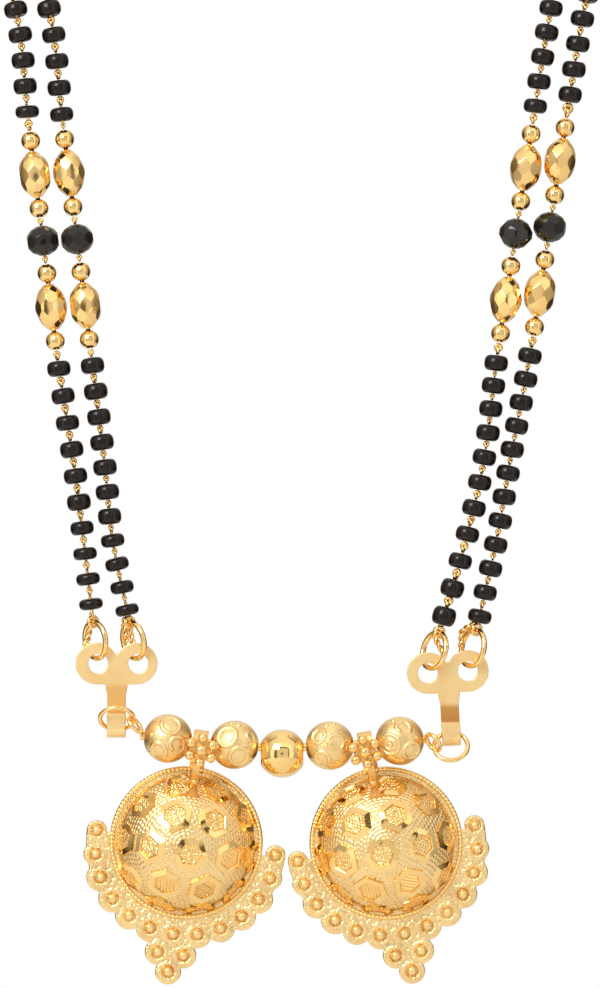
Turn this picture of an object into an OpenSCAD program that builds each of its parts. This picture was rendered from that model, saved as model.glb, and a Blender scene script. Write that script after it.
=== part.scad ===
// Two-strand wedding necklace of small black beads and gold, with two domed pendants.
// It hangs as it is worn: the nape is at the origin, the pendants are at the front.
// X runs to the right as the front is seen, +Y to the back and +Z up, in millimetres.

/* [Beaded strands] */
// Width of a small black bead, and so of a beaded strand
seed_d = 3; // [2.4:0.1:3.2]
// Thickness of the wire that carries the beads
wire_d = 0.6; // [0.4:0.05:0.7]
// Clearance round the wire in a bead's hole
bead_play = 0.2; // [0.15:0.05:0.25]
// Bare wire between the last round gold bead and the first black one
seed_gap = 1.15; // [0.8:0.05:2]

/* [Strand accents] */
// Width of a small round gold bead
ball_d = 2.4; // [2:0.1:2.8]
// Width of a faceted gold oval
oval_d = 3.9; // [3.2:0.1:3.9]
// Length of a faceted gold oval
oval_len = 5.9; // [5:0.1:6.6]
// Width of a black cut bead
cut_d = 4; // [3.4:0.1:4]
// Length of a black cut bead
cut_len = 3.75; // [3:0.05:4]
// Bare wire between a black cut bead and the round bead next to it
cut_gap = 1; // [0.6:0.1:1.4]
// Gap between an oval and the round beads at its ends
oval_gap = 0.12; // [0.1:0.02:0.3]

/* [Rings and strand ends] */
// Wire thickness of the four rings that join strand and plate
ring_wire_d = 0.7; // [0.5:0.05:0.7]
// Diameter of those rings, to the middle of the wire
ring_d = 4.6; // [4.6:0.1:5.2]
// Wire thickness of the small eye at a strand's end
eye_wire_d = 0.4; // [0.4:0.05:0.55]
// Diameter of that eye, to the middle of the wire
eye_d = 1.35; // [1.35:0.05:1.7]
// Turn of the four rings away from edge-on, in degrees
ring_turn = 35; // [20:5:40]

/* [Hook plates] */
// Distance between the two holes of a plate
hole_pitch = 5; // [4.8:0.1:5.4]
// Diameter of a plate's holes
hole_d = 2.5; // [2.5:0.1:2.8]
// Metal round a plate's holes
lobe_wall = 1.35; // [1:0.05:1.5]
// Thickness of a plate and of its hook
plate_t = 0.6; // [0.5:0.05:0.7]
// Width of the hook
hook_w = 2.3; // [1.8:0.1:2.3]
// Width of the stem where it leaves the plate
stem_w = 2.7; // [2.4:0.1:3]
// Distance from the line of the holes down to the middle of the hook's bend
stem_len = 7.85; // [7.5:0.05:8.5]
// Inner radius of the hook's bend
hook_r = 0.75; // [0.6:0.05:0.8]
// Height of the hook's lip above the middle of its bend
lip_h = 1.6; // [1.4:0.1:2]

/* [Centre bar] */
// Wire thickness of the two rings that hang on the hooks
link_wire_d = 0.55; // [0.4:0.05:0.6]
// Diameter of those rings, to the middle of the wire
link_d = 4.2; // [4.1:0.1:4.4]
// Thickness of the bar's wire
bar_d = 0.9; // [0.7:0.05:1]
// Wire thickness of the eyes at the bar's ends
bar_eye_wire_d = 0.55; // [0.4:0.05:0.6]
// Diameter of those eyes, to the middle of the wire
bar_eye_d = 2.3; // [2.1:0.05:2.3]
// Width of a carved bead
carved_d = 6.1; // [5.6:0.1:6.2]
// Length of a carved bead along the bar
carved_len = 5.9; // [5:0.1:5.9]
// Height of the raised carving
carving_h = 0.16; // [0.1:0.02:0.2]
// Width of a raised ring on a carved bead
carving_ring_d = 2.3; // [1.8:0.1:2.6]
// Width of the plain ball in the middle
centre_ball_d = 6; // [5.4:0.1:6]
// Width of the plain ball's hole, which is wide, so that the ball hangs low
centre_hole_d = 2.8; // [2:0.1:2.8]
// Clearance round the bar in the carved beads
bar_play = 0.2; // [0.1:0.05:0.3]

/* [Pendants] */
// Width of the dome at its foot
dome_d = 17.2; // [16:0.1:17.4]
// Height of the dome over the plate
dome_h = 6; // [4.5:0.1:7]
// Thickness of the dome's wall
dome_wall = 0.8; // [0.6:0.05:1]
// Outer width of the round rim at the dome's foot
rim_d = 19.2; // [18.6:0.1:19.6]
// Thickness of the rim's cord
rim_cord_d = 0.6; // [0.5:0.05:1]
// Thickness of the pendant's plate
fringe_t = 0.8; // [0.6:0.05:1]
// Radius of the circle that the fringe's knobs stand on
fringe_r = 11.55; // [11.4:0.05:11.6]
// Radius of one lobe of the fringe
lobe_r = 1.8; // [1.6:0.05:1.9]
// Width of a knob on the fringe
knob_d = 1.3; // [1:0.05:1.5]
// Distance from the dome's middle down to the knob at the tip
tip_reach = 16.3; // [16:0.05:17.5]
// Distance from the bar down to the dome's middle
hang = 12.86; // [12.4:0.02:14]
// Corner radius of a raised six-sided medallion
medal_r = 2.25; // [1.6:0.05:2.3]
// Height of a medallion over the dome
medal_h = 0.3; // [0.15:0.05:0.4]
// Width of a medallion's flat edge
medal_edge = 0.5; // [0.3:0.05:0.6]
// Wall of the tube that the pendant hangs by
bail_wall = 0.6; // [0.4:0.05:0.7]
// Length of that tube
bail_len = 1.8; // [1.4:0.1:2]
// Clearance round the bar in that tube
bail_play = 0.4; // [0.3:0.05:0.45]
// Width of the balls in the small flower
petal_d = 1.24; // [1:0.02:1.3]

/* [Hidden] */
STRANDS = ["left_outer", "left_inner", "right_inner", "right_outer"];
SIDES = ["left", "right"];
front_y = -112;
gold = [0.93, 0.72, 0.36];
black = [0.1, 0.07, 0.06];

// Route of the strands. Each hidden stretch runs from the clasp round the neck to the front,
// and is the same, mirrored, on both sides
inner_neck = [[7, 1.8, 2.2], [32, -5, 0], [51, -24, -5], [58, -48, -18], [56, -73, -38],
              [46, -96, -60], [37, -109, -81]];
outer_neck = [[7, 1.8, -2.2], [33, -4, -5], [54, -22, -10], [62, -47, -23], [60, -74, -43],
              [50.5, -97, -63], [41.5, -109, -82]];
// The stretch that shows lies in one upright plane: here x and z of each strand's points
front_top = [[-34.7, -100], [-30.5, -100], [32.7, -100], [36.9, -100]];
cut_bead_at = [[-31, -130.1], [-26.75, -129.9], [28.1, -129.2], [32.35, -128.4]];
cut_bead_lean = [-7, -7, 8.7, 8.7];
front_low = [[[-27, -159]], [[-23.3, -158], [-22.3, -167.5]], [[24.2, -157], [22, -167]],
             [[27.5, -157], [25.8, -167]]];
// Distance between the rings of a strand's tube
tube_step = 8.6;
tube_sides = 8;
// Straight run of the tube's direction at the clasp
lead_in = 25;

// Plates: x and z of the middle between the holes, and the tilt in degrees
plate_at = [[-21.6, -182.95], [19.6, -184]];
plate_tilt = [0, 3];

// Bar: places of the carved beads, the plain ball and the pendants
carved_at = [[-15.4, -192.3], [-7.06, -193.1], [4.85, -193.2], [13.6, -192.6]];
centre_x = -1.11;
pendant_x = [-11.35, 9.35];
pendant_tilt = [8, -11.5];
// The ring and the bar's eye at each hook, from the middle of the hook's bend. The outline of the
// left plate sits a little to one side of its holes
plate_shift = [-0.2, 0];
link_lean = [-132.5, -36];
link_shift = [-0.09, -0.14];
bar_eye_at = [[2.13, -2.09, 0.31], [-2.3, -1.94, -0.75]];
bar_eye_axis = [[0.72, -0.29, 0.63], [0.71, 0.51, 0.49]];

clasp_size = [12, 3.6, 4.4];
clasp_socket = 2.5;
socket_play = 0.3;
seat_gap = 0.11;
over = 0.5;

function unit(v) = v / norm(v);
function front(p) = [p[0], front_y, p[1]];
function side_of(k) = k < 2 ? 0 : 1;
function sign_of(k) = k < 2 ? -1 : 1;
function on_side(p, s) = [s * p[0], p[1], p[2]];

// Accents along one strand, from the top: name, number, distance above the black cut bead
near_ball = cut_len / 2 + cut_gap + ball_d / 2;
oval_off = near_ball + ball_d / 2 + oval_gap + oval_len / 2;
far_ball = oval_off + oval_len / 2 + oval_gap + ball_d / 2;
group_half = far_ball + ball_d / 2 + seed_gap;
ACCENTS = [["gold_ball", 1, far_ball], ["gold_oval", 1, oval_off], ["gold_ball", 2, near_ball],
           ["black_bead", 1, 0], ["gold_ball", 3, -near_ball], ["gold_oval", 2, -oval_off],
           ["gold_ball", 4, -far_ball]];
function accent_name(k, a) = str(a[0], "_", STRANDS[k], "_", a[1]);

function cut_centre(k) = front(cut_bead_at[k]);
function cut_dir(k) = [sin(cut_bead_lean[k]), 0, cos(cut_bead_lean[k])];

// Holes, rings and eyes at the lower end of a strand, each measured up from its hole
function tilted(p, a) = [p[0] * cos(a) - p[1] * sin(a), p[0] * sin(a) + p[1] * cos(a)];
function hole_at(k) = front(plate_at[side_of(k)]
    + tilted([(k % 2 == 0 ? -1 : 1) * hole_pitch / 2, 0], plate_tilt[side_of(k)]));
function last_point(k) = front(front_low[k][len(front_low[k]) - 1]);
function end_dir(k) = unit(last_point(k) - hole_at(k));
ring_clear = 0.25;
eye_clear = 0.02;
neck_len = 0.1;
seed_clear = 0.15;
ring_up = hole_d / 2 - ring_wire_d / 2 - ring_clear + ring_d / 2;
eye_up = ring_up + ring_d / 2 + eye_clear;
neck_up = eye_up + (eye_d + eye_wire_d) / 2 + neck_len;
seeds_up = neck_up + seed_clear;
function end_at(k, up) = hole_at(k) + up * end_dir(k);

// Smooth curve through chosen points: the first and last only set its direction
function bend(p, q, r, s, t) = 0.5 * (2 * q + (r - p) * t + (2 * p - 5 * q + 4 * r - s) * t * t
    + (3 * q - p - 3 * r + s) * t * t * t);
function curve(p) = concat([for (i = [1:len(p) - 3])
    let (n = max(1, round(norm(p[i + 1] - p[i]) / tube_step)))
    for (j = [0:n - 1]) bend(p[i - 1], p[i], p[i + 1], p[i + 2], j / n)], [p[len(p) - 2]]);
function neck_points(k) = [for (p = (k == 0 || k == 3 ? outer_neck : inner_neck)) on_side(p, sign_of(k))];
function upper_run(k) = let (n = neck_points(k)) curve(concat(
    [n[0] - [sign_of(k) * lead_in, 0, 0]], n, [front(front_top[k])],
    [cut_centre(k) + group_half * cut_dir(k), cut_centre(k)]));
function lower_run(k) = curve(concat(
    [cut_centre(k), cut_centre(k) - group_half * cut_dir(k)],
    [for (p = front_low[k]) front(p)], [end_at(k, seeds_up), hole_at(k)]));
function heading(p) = [for (i = [0:len(p) - 1]) unit(p[min(i + 1, len(p) - 1)] - p[max(i - 1, 0)])];
function stations(k) = let (u = upper_run(k), hu = heading(u), w = lower_run(k), hw = heading(w),
    c = [sign_of(k) * (clasp_size[0] / 2 - clasp_socket + seat_gap), u[0][1], u[0][2]])
    concat([[c, hu[0], wire_d], [u[0], hu[0], wire_d]],
           [for (i = [0:len(u) - 1]) [u[i], hu[i], seed_d]],
           [[u[len(u) - 1], hu[len(u) - 1], wire_d], [w[0], hw[0], wire_d]],
           [for (i = [0:len(w) - 1]) [w[i], hw[i], seed_d]],
           [[w[len(w) - 1], hw[len(w) - 1], wire_d],
            [end_at(k, neck_up + seat_gap), hw[len(w) - 1], wire_d]]);

// A round of the tube stands square to the strand, and starts on the side away from the neck
function around(s) = let (out = [s[0][0], s[0][1] - front_y / 2, 0],
    a = unit(out - (out * s[1]) * s[1]), b = cross(s[1], a))
    [for (j = [0:tube_sides - 1]) let (t = 360 * j / tube_sides)
        s[0] + s[2] / 2 * (cos(t) * a + sin(t) * b)];

module string(k) {
  s = stations(k);
  n = len(s);
  m = tube_sides;
  color(black) polyhedron(
    points = [for (x = s) each around(x)],
    faces = concat([[for (j = [0:m - 1]) j]],
                   [for (i = [0:n - 2]) for (j = [0:m - 1])
                     each let (a = i * m + j, b = i * m + (j + 1) % m)
                       [[a, a + m, b + m], [a, b + m, b]]],
                   [[for (j = [m - 1:-1:0]) (n - 1) * m + j]]));
}

// Turns a piece that stands along Z into a direction, and sets it in its place
module aim(at, dir) {
  translate(at) rotate([0, acos(dir[2] / norm(dir)), atan2(dir[1], dir[0])]) children();
}

module torus(d, wire) {
  rotate_extrude($fn = 48) translate([d / 2, 0]) circle(d = wire, $fn = 24);
}

// A bead cut in rows of flat faces. Each row is [height, radius], turned half a step to the last
module cut_rows(rows, sides) {
  n = len(rows);
  function corner(i, j) = let (t = 360 / sides * (j + (i % 2) / 2))
    [rows[i][1] * cos(t), rows[i][1] * sin(t), rows[i][0]];
  function id(i, j) = i * sides + j % sides;
  polyhedron(
    points = [for (i = [0:n - 1]) for (j = [0:sides - 1]) corner(i, j)],
    faces = concat([[for (j = [0:sides - 1]) j]],
                   [for (i = [0:n - 2]) for (j = [0:sides - 1]) each i % 2 == 0
                     ? [[id(i, j), id(i + 1, j), id(i, j + 1)],
                        [id(i, j + 1), id(i + 1, j), id(i + 1, j + 1)]]
                     : [[id(i, j), id(i + 1, j), id(i + 1, j + 1)],
                        [id(i, j), id(i + 1, j + 1), id(i, j + 1)]]],
                   [[for (j = [sides - 1:-1:0]) id(n - 1, j)]]));
}

module drill(d, h) {
  cylinder(d = d, h = h, center = true, $fn = 32);
}

module gold_ball() {
  color(gold) difference() {
    sphere(d = ball_d, $fn = 48);
    drill(wire_d + 2 * bead_play, ball_d);
  }
}

// Shares of half the length and of half the width, row by row
oval_rows = [[-1, 0.44], [-0.84, 0.66], [-0.5, 0.9], [0, 1], [0.5, 0.9], [0.84, 0.66], [1, 0.44]];
module gold_oval() {
  color(gold) difference() {
    cut_rows([for (r = oval_rows) [r[0] * oval_len / 2, r[1] * oval_d / 2]], 10);
    drill(wire_d + 2 * bead_play, oval_len + 2 * over);
  }
}

cut_shares = [[-1, 0.5], [-0.62, 0.84], [0, 1], [0.62, 0.84], [1, 0.5]];
module black_bead() {
  color(black) difference() {
    cut_rows([for (r = cut_shares) [r[0] * cut_len / 2, r[1] * cut_d / 2]], 10);
    drill(wire_d + 2 * bead_play, cut_len + 2 * over);
  }
}

module accent(k, a) {
  aim(cut_centre(k) + a[2] * cut_dir(k), cut_dir(k)) {
    if (a[0] == "gold_ball") gold_ball();
    if (a[0] == "gold_oval") gold_oval();
    if (a[0] == "black_bead") black_bead();
  }
}

// Small eye of wire that ends a strand, with its plane across the ring's wire
module string_eye(k) {
  color(gold) aim(end_at(k, eye_up), end_dir(k)) rotate(ring_turn) {
    rotate([90, 0, 0]) torus(eye_d, eye_wire_d);
    translate([0, 0, eye_d / 2]) cylinder(d = eye_wire_d, h = neck_up - eye_up - eye_d / 2, $fn = 24);
  }
}

module jump_ring(k) {
  color(gold) aim(end_at(k, ring_up), end_dir(k)) rotate(ring_turn) rotate([0, 90, 0])
    torus(ring_d, ring_wire_d);
}

// Plate with two holes, a stem and a hook that opens to the front
hook_mid = hook_r + plate_t / 2;
module at_plate(s) {
  translate(front(plate_at[s])) rotate([0, -plate_tilt[s], 0]) children();
}

module upright(t) {
  translate([0, t / 2, 0]) rotate([90, 0, 0]) linear_extrude(t) children();
}

// The stem narrows between these two distances below the lobes
taper = [0.4, 1.4];
module plate_outline(s) {
  lobe = hole_d / 2 + lobe_wall;
  difference() {
    translate([plate_shift[s], 0]) {
      for (x = [-1, 1]) translate([x * hole_pitch / 2, 0]) circle(r = lobe, $fn = 64);
      translate([-hole_pitch / 2, -lobe]) square([hole_pitch, lobe + hole_d / 2]);
      polygon([[-stem_w / 2, -lobe + over], [stem_w / 2, -lobe + over], [stem_w / 2, -lobe - taper[0]],
               [hook_w / 2, -lobe - taper[1]], [hook_w / 2, -stem_len], [-hook_w / 2, -stem_len],
               [-hook_w / 2, -lobe - taper[1]], [-stem_w / 2, -lobe - taper[0]]]);
    }
    for (x = [-1, 1]) translate([x * hole_pitch / 2, 0]) circle(d = hole_d, $fn = 64);
  }
}

module hook_profile() {
  difference() {
    circle(r = hook_r + plate_t, $fn = 48);
    circle(r = hook_r, $fn = 48);
    translate([-2 * hook_mid, 0]) square([4 * hook_mid, 2 * hook_mid]);
  }
  translate([-hook_r - plate_t, 0]) square([plate_t, lip_h]);
}

module connector(s) {
  color(gold) at_plate(s) {
    upright(plate_t) plate_outline(s);
    translate([plate_shift[s] - hook_w / 2, -hook_mid, -stem_len]) rotate([90, 0, 90]) linear_extrude(hook_w)
      hook_profile();
  }
}

// Ring on a hook. On the left it stands on its lower edge, on the right it hangs by its upper one
ring_rise = 0.35;
function link_seat(s) = s == 0 ? -(hook_r - link_wire_d / 2 - seat_gap) : ring_rise;
module link_ring(s) {
  color(gold) at_plate(s) translate([link_shift[s], -hook_mid, link_seat(s) - stem_len])
    rotate([link_lean[s], 0, 0]) translate([0, 0, -link_d / 2]) rotate([90, 0, 0])
    torus(link_d, link_wire_d);
}

// Line of the bar: through the two beads on each side, with a level stretch between them
function on_bar(s, x) = let (a = carved_at[2 * s], b = carved_at[2 * s + 1])
    a + (b - a) * (x - a[0]) / (b[0] - a[0]);
function bar_dir(s) = let (d = carved_at[2 * s + 1] - carved_at[2 * s]) unit([d[0], 0, d[1]]);
function eye_centre(s) = let (p = bar_eye_at[s], q = tilted([p[0], p[2] - stem_len], plate_tilt[s]))
    front(plate_at[s]) + [q[0], p[1], q[1]];
bar_reach = 0.25;
bar_out = carved_len / 2 + bar_reach;
bar_in = [carved_at[1][0] + bar_out, carved_at[2][0] - bar_out];
bar_end = [carved_at[0][0] - bar_out, carved_at[3][0] + bar_out];
function eye_foot(s) = let (e = eye_centre(s), n = unit(bar_eye_axis[s]),
    v = front(on_bar(s, bar_end[s])) - e)
    e + bar_eye_d / 2 * unit(v - (v * n) * n);

module rod(a, b, d) {
  aim(a, b - a) cylinder(d = d, h = norm(b - a), $fn = 32);
}

// At each bend the bar has a small collar, and each eye's stem is drawn thinner than its ring
collar = 0.06;
module bar_collar(s, x) {
  p = front(on_bar(s, x));
  v = bar_reach * bar_dir(s);
  rod(p - v, p + v, bar_d + 2 * collar);
}

module bar_wire() {
  color(gold) {
    for (s = [0, 1]) {
      aim(eye_centre(s), unit(bar_eye_axis[s])) torus(bar_eye_d, bar_eye_wire_d);
      rod(eye_foot(s), front(on_bar(s, bar_end[s])), bar_eye_wire_d - collar);
      bar_collar(s, bar_end[s]);
      rod(front(on_bar(s, bar_end[s])), front(on_bar(s, bar_in[s])), bar_d);
      bar_collar(s, bar_in[s]);
    }
    rod(front(on_bar(0, bar_in[0])), front(on_bar(1, bar_in[1])), bar_d);
  }
}

// Round bead with a belt of raised rings, and a row of small bosses at each end
module carved_bead(i) {
  r = carved_d / 2;
  ring_r = carving_ring_d / 2;
  boss_at = carved_len / 3;
  color(gold) aim(front(carved_at[i]), bar_dir(i < 2 ? 0 : 1)) difference() {
    union() {
      intersection() {
        sphere(r = r, $fn = 64);
        cylinder(r = carved_d, h = carved_len, center = true, $fn = 32);
      }
      for (a = [0:60:300]) rotate(a) translate([sqrt(r * r - ring_r * ring_r), 0, 0])
        rotate([0, 90, 0]) torus(2 * ring_r, 2 * carving_h);
      for (a = [30:60:330]) for (z = [-boss_at, boss_at])
        rotate(a) translate([sqrt(r * r - z * z), 0, z]) sphere(r = 2 * carving_h, $fn = 24);
    }
    drill(bar_d + 2 * bar_play, carved_d);
  }
}

module centre_ball() {
  wire_mid = (on_bar(0, bar_in[0]) + on_bar(1, bar_in[1])) / 2;
  drop = (centre_hole_d - bar_d) / 2 - collar - seat_gap;
  color(gold) translate([centre_x, front_y, wire_mid[1] - drop]) rotate([0, 90, 0]) difference() {
    sphere(d = centre_ball_d, $fn = 64);
    drill(centre_hole_d, centre_ball_d);
  }
}

// Pendant, drawn with the middle of its tube at the origin and its dome below and to the front
plate_y = 1.9;
dome_r = (dome_d * dome_d / 4 + dome_h * dome_h) / (2 * dome_h);
dome_back = plate_y - fringe_t / 2 + dome_r - dome_h;
bail_r = bar_d / 2 + bail_play;
flower_y = -3.05;
flower_x = [0.29, -0.3];
flower_z = -0.94;
petal_ring = petal_d * 1.25;
// Past this angle from straight down the lobes stand closer in and get smaller
fringe_bend = 60;
end_in = 0.25;
end_less = 0.55;
// Places across and down of the two lobes over the tip, and how much smaller the tip's lobes are
over_tip = [1.62, 14.05];
tip_less = 0.17;
lobe_fill = 0.55;
medal_root = 0.55;
knob_step = 15;

// Across, up and lobe radius of each knob
function knob_on_ring(a) = let (part = max(0, abs(a) - fringe_bend) / (90 - fringe_bend),
    r = fringe_r - end_in * part) [r * sin(a), -r * cos(a), lobe_r - end_less * part];
function knob_places() = concat([for (a = [-90:knob_step:90]) knob_on_ring(a)],
    [for (x = [-1, 1]) [x * over_tip[0], -over_tip[1], lobe_r - tip_less]],
    [[0, -tip_reach, lobe_r - tip_less]]);

module fringe_outline() {
  circle(d = rim_d, $fn = 96);
  intersection() {
    circle(r = fringe_r + lobe_fill * lobe_r, $fn = 96);
    translate([-2 * fringe_r, -2 * fringe_r]) square([4 * fringe_r, 2 * fringe_r]);
  }
  polygon([[-2 * lobe_r, -fringe_r + over], [2 * lobe_r, -fringe_r + over],
           [0, -tip_reach - lobe_r / 2]]);
  for (p = knob_places()) translate([p[0], p[1]]) circle(r = p[2], $fn = 48);
}

// One six-sided medallion, standing on the dome at an angle from its middle
module medallion(lean, turn, size) {
  rotate([0, turn, 0]) rotate([lean, 0, 0]) rotate([90, 0, 0]) difference() {
    translate([0, 0, dome_r - medal_root]) cylinder(r = size, h = medal_root + medal_h, $fn = 6);
    translate([0, 0, dome_r + medal_h / 6]) cylinder(r = size - medal_edge, h = medal_h, $fn = 6);
  }
}

// One in the middle, six round it and ten near the foot. The whole pattern is turned a little
// downwards, and on each pendant a little towards the other one
inner_lean = 33;
outer_lean = 60;
outer_size = 0.9;
low_lean = 6.5;
side_lean = [5, -5];
module medallions(s) {
  rotate([low_lean, 0, side_lean[s]]) {
    medallion(0, 0, medal_r);
    for (a = [30:60:330]) medallion(inner_lean, a, medal_r);
    for (a = [18:36:342]) medallion(outer_lean, a, medal_r * outer_size);
  }
}

module dome_and_plate(s) {
  translate([0, plate_y, 0]) upright(fringe_t) fringe_outline();
  translate([0, plate_y - fringe_t / 2, 0]) rotate([90, 0, 0])
    torus(rim_d - rim_cord_d, rim_cord_d);
  intersection() {
    translate([0, dome_back, 0]) sphere(r = dome_r, $fn = 96);
    translate([-dome_d, plate_y + fringe_t / 2 - 2 * dome_d, -dome_d])
      cube([2 * dome_d, 2 * dome_d, 2 * dome_d]);
  }
  intersection() {
    translate([0, dome_back, 0]) medallions(s);
    translate([-dome_d, plate_y - 2 * dome_d, -dome_d]) cube([2 * dome_d, 2 * dome_d, 2 * dome_d]);
  }
  for (p = knob_places()) translate([p[0], plate_y - fringe_t / 2, p[1]]) sphere(d = knob_d, $fn = 24);
}

// Backing disc, six petals and the ball in the middle
disc_r = 1.45;
disc_t = 0.4;
module flower(s) {
  translate([flower_x[s], flower_y, flower_z]) {
    translate([0, disc_t * 1.5, 0]) rotate([90, 0, 0]) cylinder(r = disc_r, h = disc_t, $fn = 32);
    for (a = [30:60:330]) translate([petal_ring * cos(a), 0, petal_ring * sin(a)])
      sphere(d = petal_d, $fn = 24);
    translate([0, -0.1, 0]) sphere(d = petal_d + 0.06, $fn = 24);
  }
}

// Strut from the tube back and down to the rim: thickness and length
strut = [0.9, 3.2];
strut_at = [0, 0.976, -2.49];
strut_lean = 38;
// Post from the tube to the flower, and strap from the flower down to the dome
post_r = 0.7;
post_len = 1.3;
post_at = [0, -1.2, -0.5];
strap = [1.2, 0.5, 4.8];
strap_at = [0, -1.403, -3.475];
strap_lean = 29;
module bail(s) {
  rotate([0, 90, 0]) cylinder(r = bail_r + bail_wall, h = bail_len, center = true, $fn = 48);
  translate(strut_at) rotate([strut_lean, 0, 0]) cube([bail_len, strut[0], strut[1]], center = true);
  translate(post_at) rotate([90, 0, 0]) cylinder(r = post_r, h = post_len, $fn = 32);
  translate(strap_at) rotate([strap_lean, 0, 0]) cube(strap, center = true);
  flower(s);
}

module pendant(s) {
  color(gold) translate([pendant_x[s], front_y, on_bar(s, pendant_x[s])[1]])
    rotate([0, pendant_tilt[s], 0]) difference() {
      union() {
        translate([0, 0, -hang]) dome_and_plate(s);
        bail(s);
      }
      translate([0, dome_back, -hang]) sphere(r = dome_r - dome_wall, $fn = 96);
      rotate([0, 90, 0]) drill(2 * bail_r, bail_len + 2 * over);
    }
}

// Plain rounded clasp at the nape, with a socket for each strand's wire
module clasp() {
  h = clasp_size[2] / 2;
  color(gold) translate([0, clasp_size[1] / 2, 0]) difference() {
    union() {
      cube(clasp_size, center = true);
      for (z = [-h, h]) translate([0, 0, z]) rotate([0, 90, 0])
        cylinder(d = clasp_size[1], h = clasp_size[0], center = true, $fn = 48);
    }
    for (x = [-1, 1]) for (z = [-h, h])
      translate([x * clasp_size[0] / 2, 0, z]) rotate([0, 90, 0])
        drill(wire_d + 2 * socket_play, 2 * clasp_socket);
  }
}

clasp();
bar_wire();
centre_ball();
for (s = [0, 1]) {
  connector(s);
  link_ring(s);
  pendant(s);
}
for (i = [0:3]) carved_bead(i);
for (k = [0:3]) {
  string(k);
  string_eye(k);
  jump_ring(k);
  for (a = ACCENTS) accent(k, a);
}
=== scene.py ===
# %% [markdown]
# # A wedding necklace of black beads and gold
# Two strands of small black beads meet at a short beaded bar, and two domed pendants turn on that bar.
# The necklace is already built as solids, and this script loads them as a fixed frame. Each step below
# takes one kind of piece, says what it is on the real necklace, and gives it the shape and the finish
# that a jeweller would.

# %% Load the frame and keep its size
from math import acos, atan2, ceil, cos, hypot, pi, radians, sin, sqrt

import bmesh
import bpy
import numpy as np
from mathutils import Matrix, Vector
from mathutils.geometry import delaunay_2d_cdt


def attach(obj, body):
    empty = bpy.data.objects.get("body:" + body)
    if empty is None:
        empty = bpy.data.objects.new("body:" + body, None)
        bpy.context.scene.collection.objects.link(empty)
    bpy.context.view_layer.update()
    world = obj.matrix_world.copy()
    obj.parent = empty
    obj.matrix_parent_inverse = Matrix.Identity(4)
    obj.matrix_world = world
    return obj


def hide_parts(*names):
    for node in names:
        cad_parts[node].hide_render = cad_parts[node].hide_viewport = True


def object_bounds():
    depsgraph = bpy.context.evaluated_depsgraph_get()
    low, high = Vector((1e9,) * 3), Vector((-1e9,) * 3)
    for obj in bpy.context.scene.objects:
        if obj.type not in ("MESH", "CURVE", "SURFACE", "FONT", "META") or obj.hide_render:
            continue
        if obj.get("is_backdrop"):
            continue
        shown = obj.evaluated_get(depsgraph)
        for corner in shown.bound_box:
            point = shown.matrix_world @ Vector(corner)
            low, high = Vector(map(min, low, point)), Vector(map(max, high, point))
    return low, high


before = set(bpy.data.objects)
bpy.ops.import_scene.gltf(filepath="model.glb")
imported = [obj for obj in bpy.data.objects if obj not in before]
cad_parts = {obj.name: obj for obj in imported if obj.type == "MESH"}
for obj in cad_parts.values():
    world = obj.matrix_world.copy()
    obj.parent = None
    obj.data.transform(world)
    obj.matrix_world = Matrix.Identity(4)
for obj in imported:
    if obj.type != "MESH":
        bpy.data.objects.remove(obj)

MM = 0.001
cad_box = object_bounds()

# %% [markdown]
# ## Camera
# The necklace is seen straight from the front, so nearly all of it lies in one upright plane. A long
# lens from far away keeps the round pendants round. The picture is 600 pixels wide and 988 high, and
# 8 of its pixels are one millimetre on that plane, so the lens follows from the distance.

# %% Place the camera
FRONT_Y = -112.0
PICTURE_HEIGHT = 988
PIXELS_PER_MM = 8
VIEW_MIDDLE = (1.125, FRONT_Y, -161.75)
CAMERA_DISTANCE = 800.0

lens = bpy.data.cameras.new("camera")
lens.sensor_fit = "VERTICAL"
lens.lens = lens.sensor_height * CAMERA_DISTANCE * PIXELS_PER_MM / PICTURE_HEIGHT
camera = bpy.data.objects.new("camera", lens)
camera.location = (Vector(VIEW_MIDDLE) - Vector((0, CAMERA_DISTANCE, 0))) * MM
camera.rotation_euler = (radians(90), 0, 0)
bpy.context.scene.collection.objects.link(camera)
bpy.context.scene.camera = camera
print("lens in mm:", round(lens.lens, 1))

# %% [markdown]
# ## Light
# Polished gold shows little of its own: it shows the room. A jewellery photographer puts the piece in
# a white tent, with a large soft box in front and darker cloth at the sides, so each ball carries a
# bright window with a dark edge. Lamps could do this, but small shiny balls turn lamps into noise.
# Here the sky is the tent: a few soft shapes are computed from the direction of each ray.

# %% A short way to write node maths
def wire_up(tree, socket, value):
    """Gives a socket its value: another socket to follow, a colour or a number."""
    if hasattr(value, "is_linked"):
        tree.links.new(value, socket)
    elif isinstance(value, tuple) and len(value) == 3 and socket.type == "RGBA":
        socket.default_value = (*value, 1)
    else:
        socket.default_value = value


def node(tree, kind, inputs=(), **settings):
    made = tree.nodes.new(kind)
    for key, value in settings.items():
        setattr(made, key, value)
    for key, value in dict(inputs).items():
        wire_up(tree, made.inputs[key], value)
    return made


def maths(tree, operation, *values):
    return node(tree, "ShaderNodeMath", dict(enumerate(values)), operation=operation).outputs[0]


def times(tree, one, other):
    return maths(tree, "MULTIPLY", one, other)


def soft_step(tree, value, low, high):
    return node(tree, "ShaderNodeMapRange", {"Value": value, "From Min": low, "From Max": high},
                interpolation_type="SMOOTHSTEP").outputs["Result"]


def blend(tree, share, one, other):
    """A number that goes from one to the other as the share goes from 0 to 1."""
    return node(tree, "ShaderNodeMix", {0: share, 2: one, 3: other}).outputs[0]


def tint(tree, share, one, other):
    """The same for two colours."""
    return node(tree, "ShaderNodeMix", {0: share, 6: one, 7: other}, data_type="RGBA").outputs[2]


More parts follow.
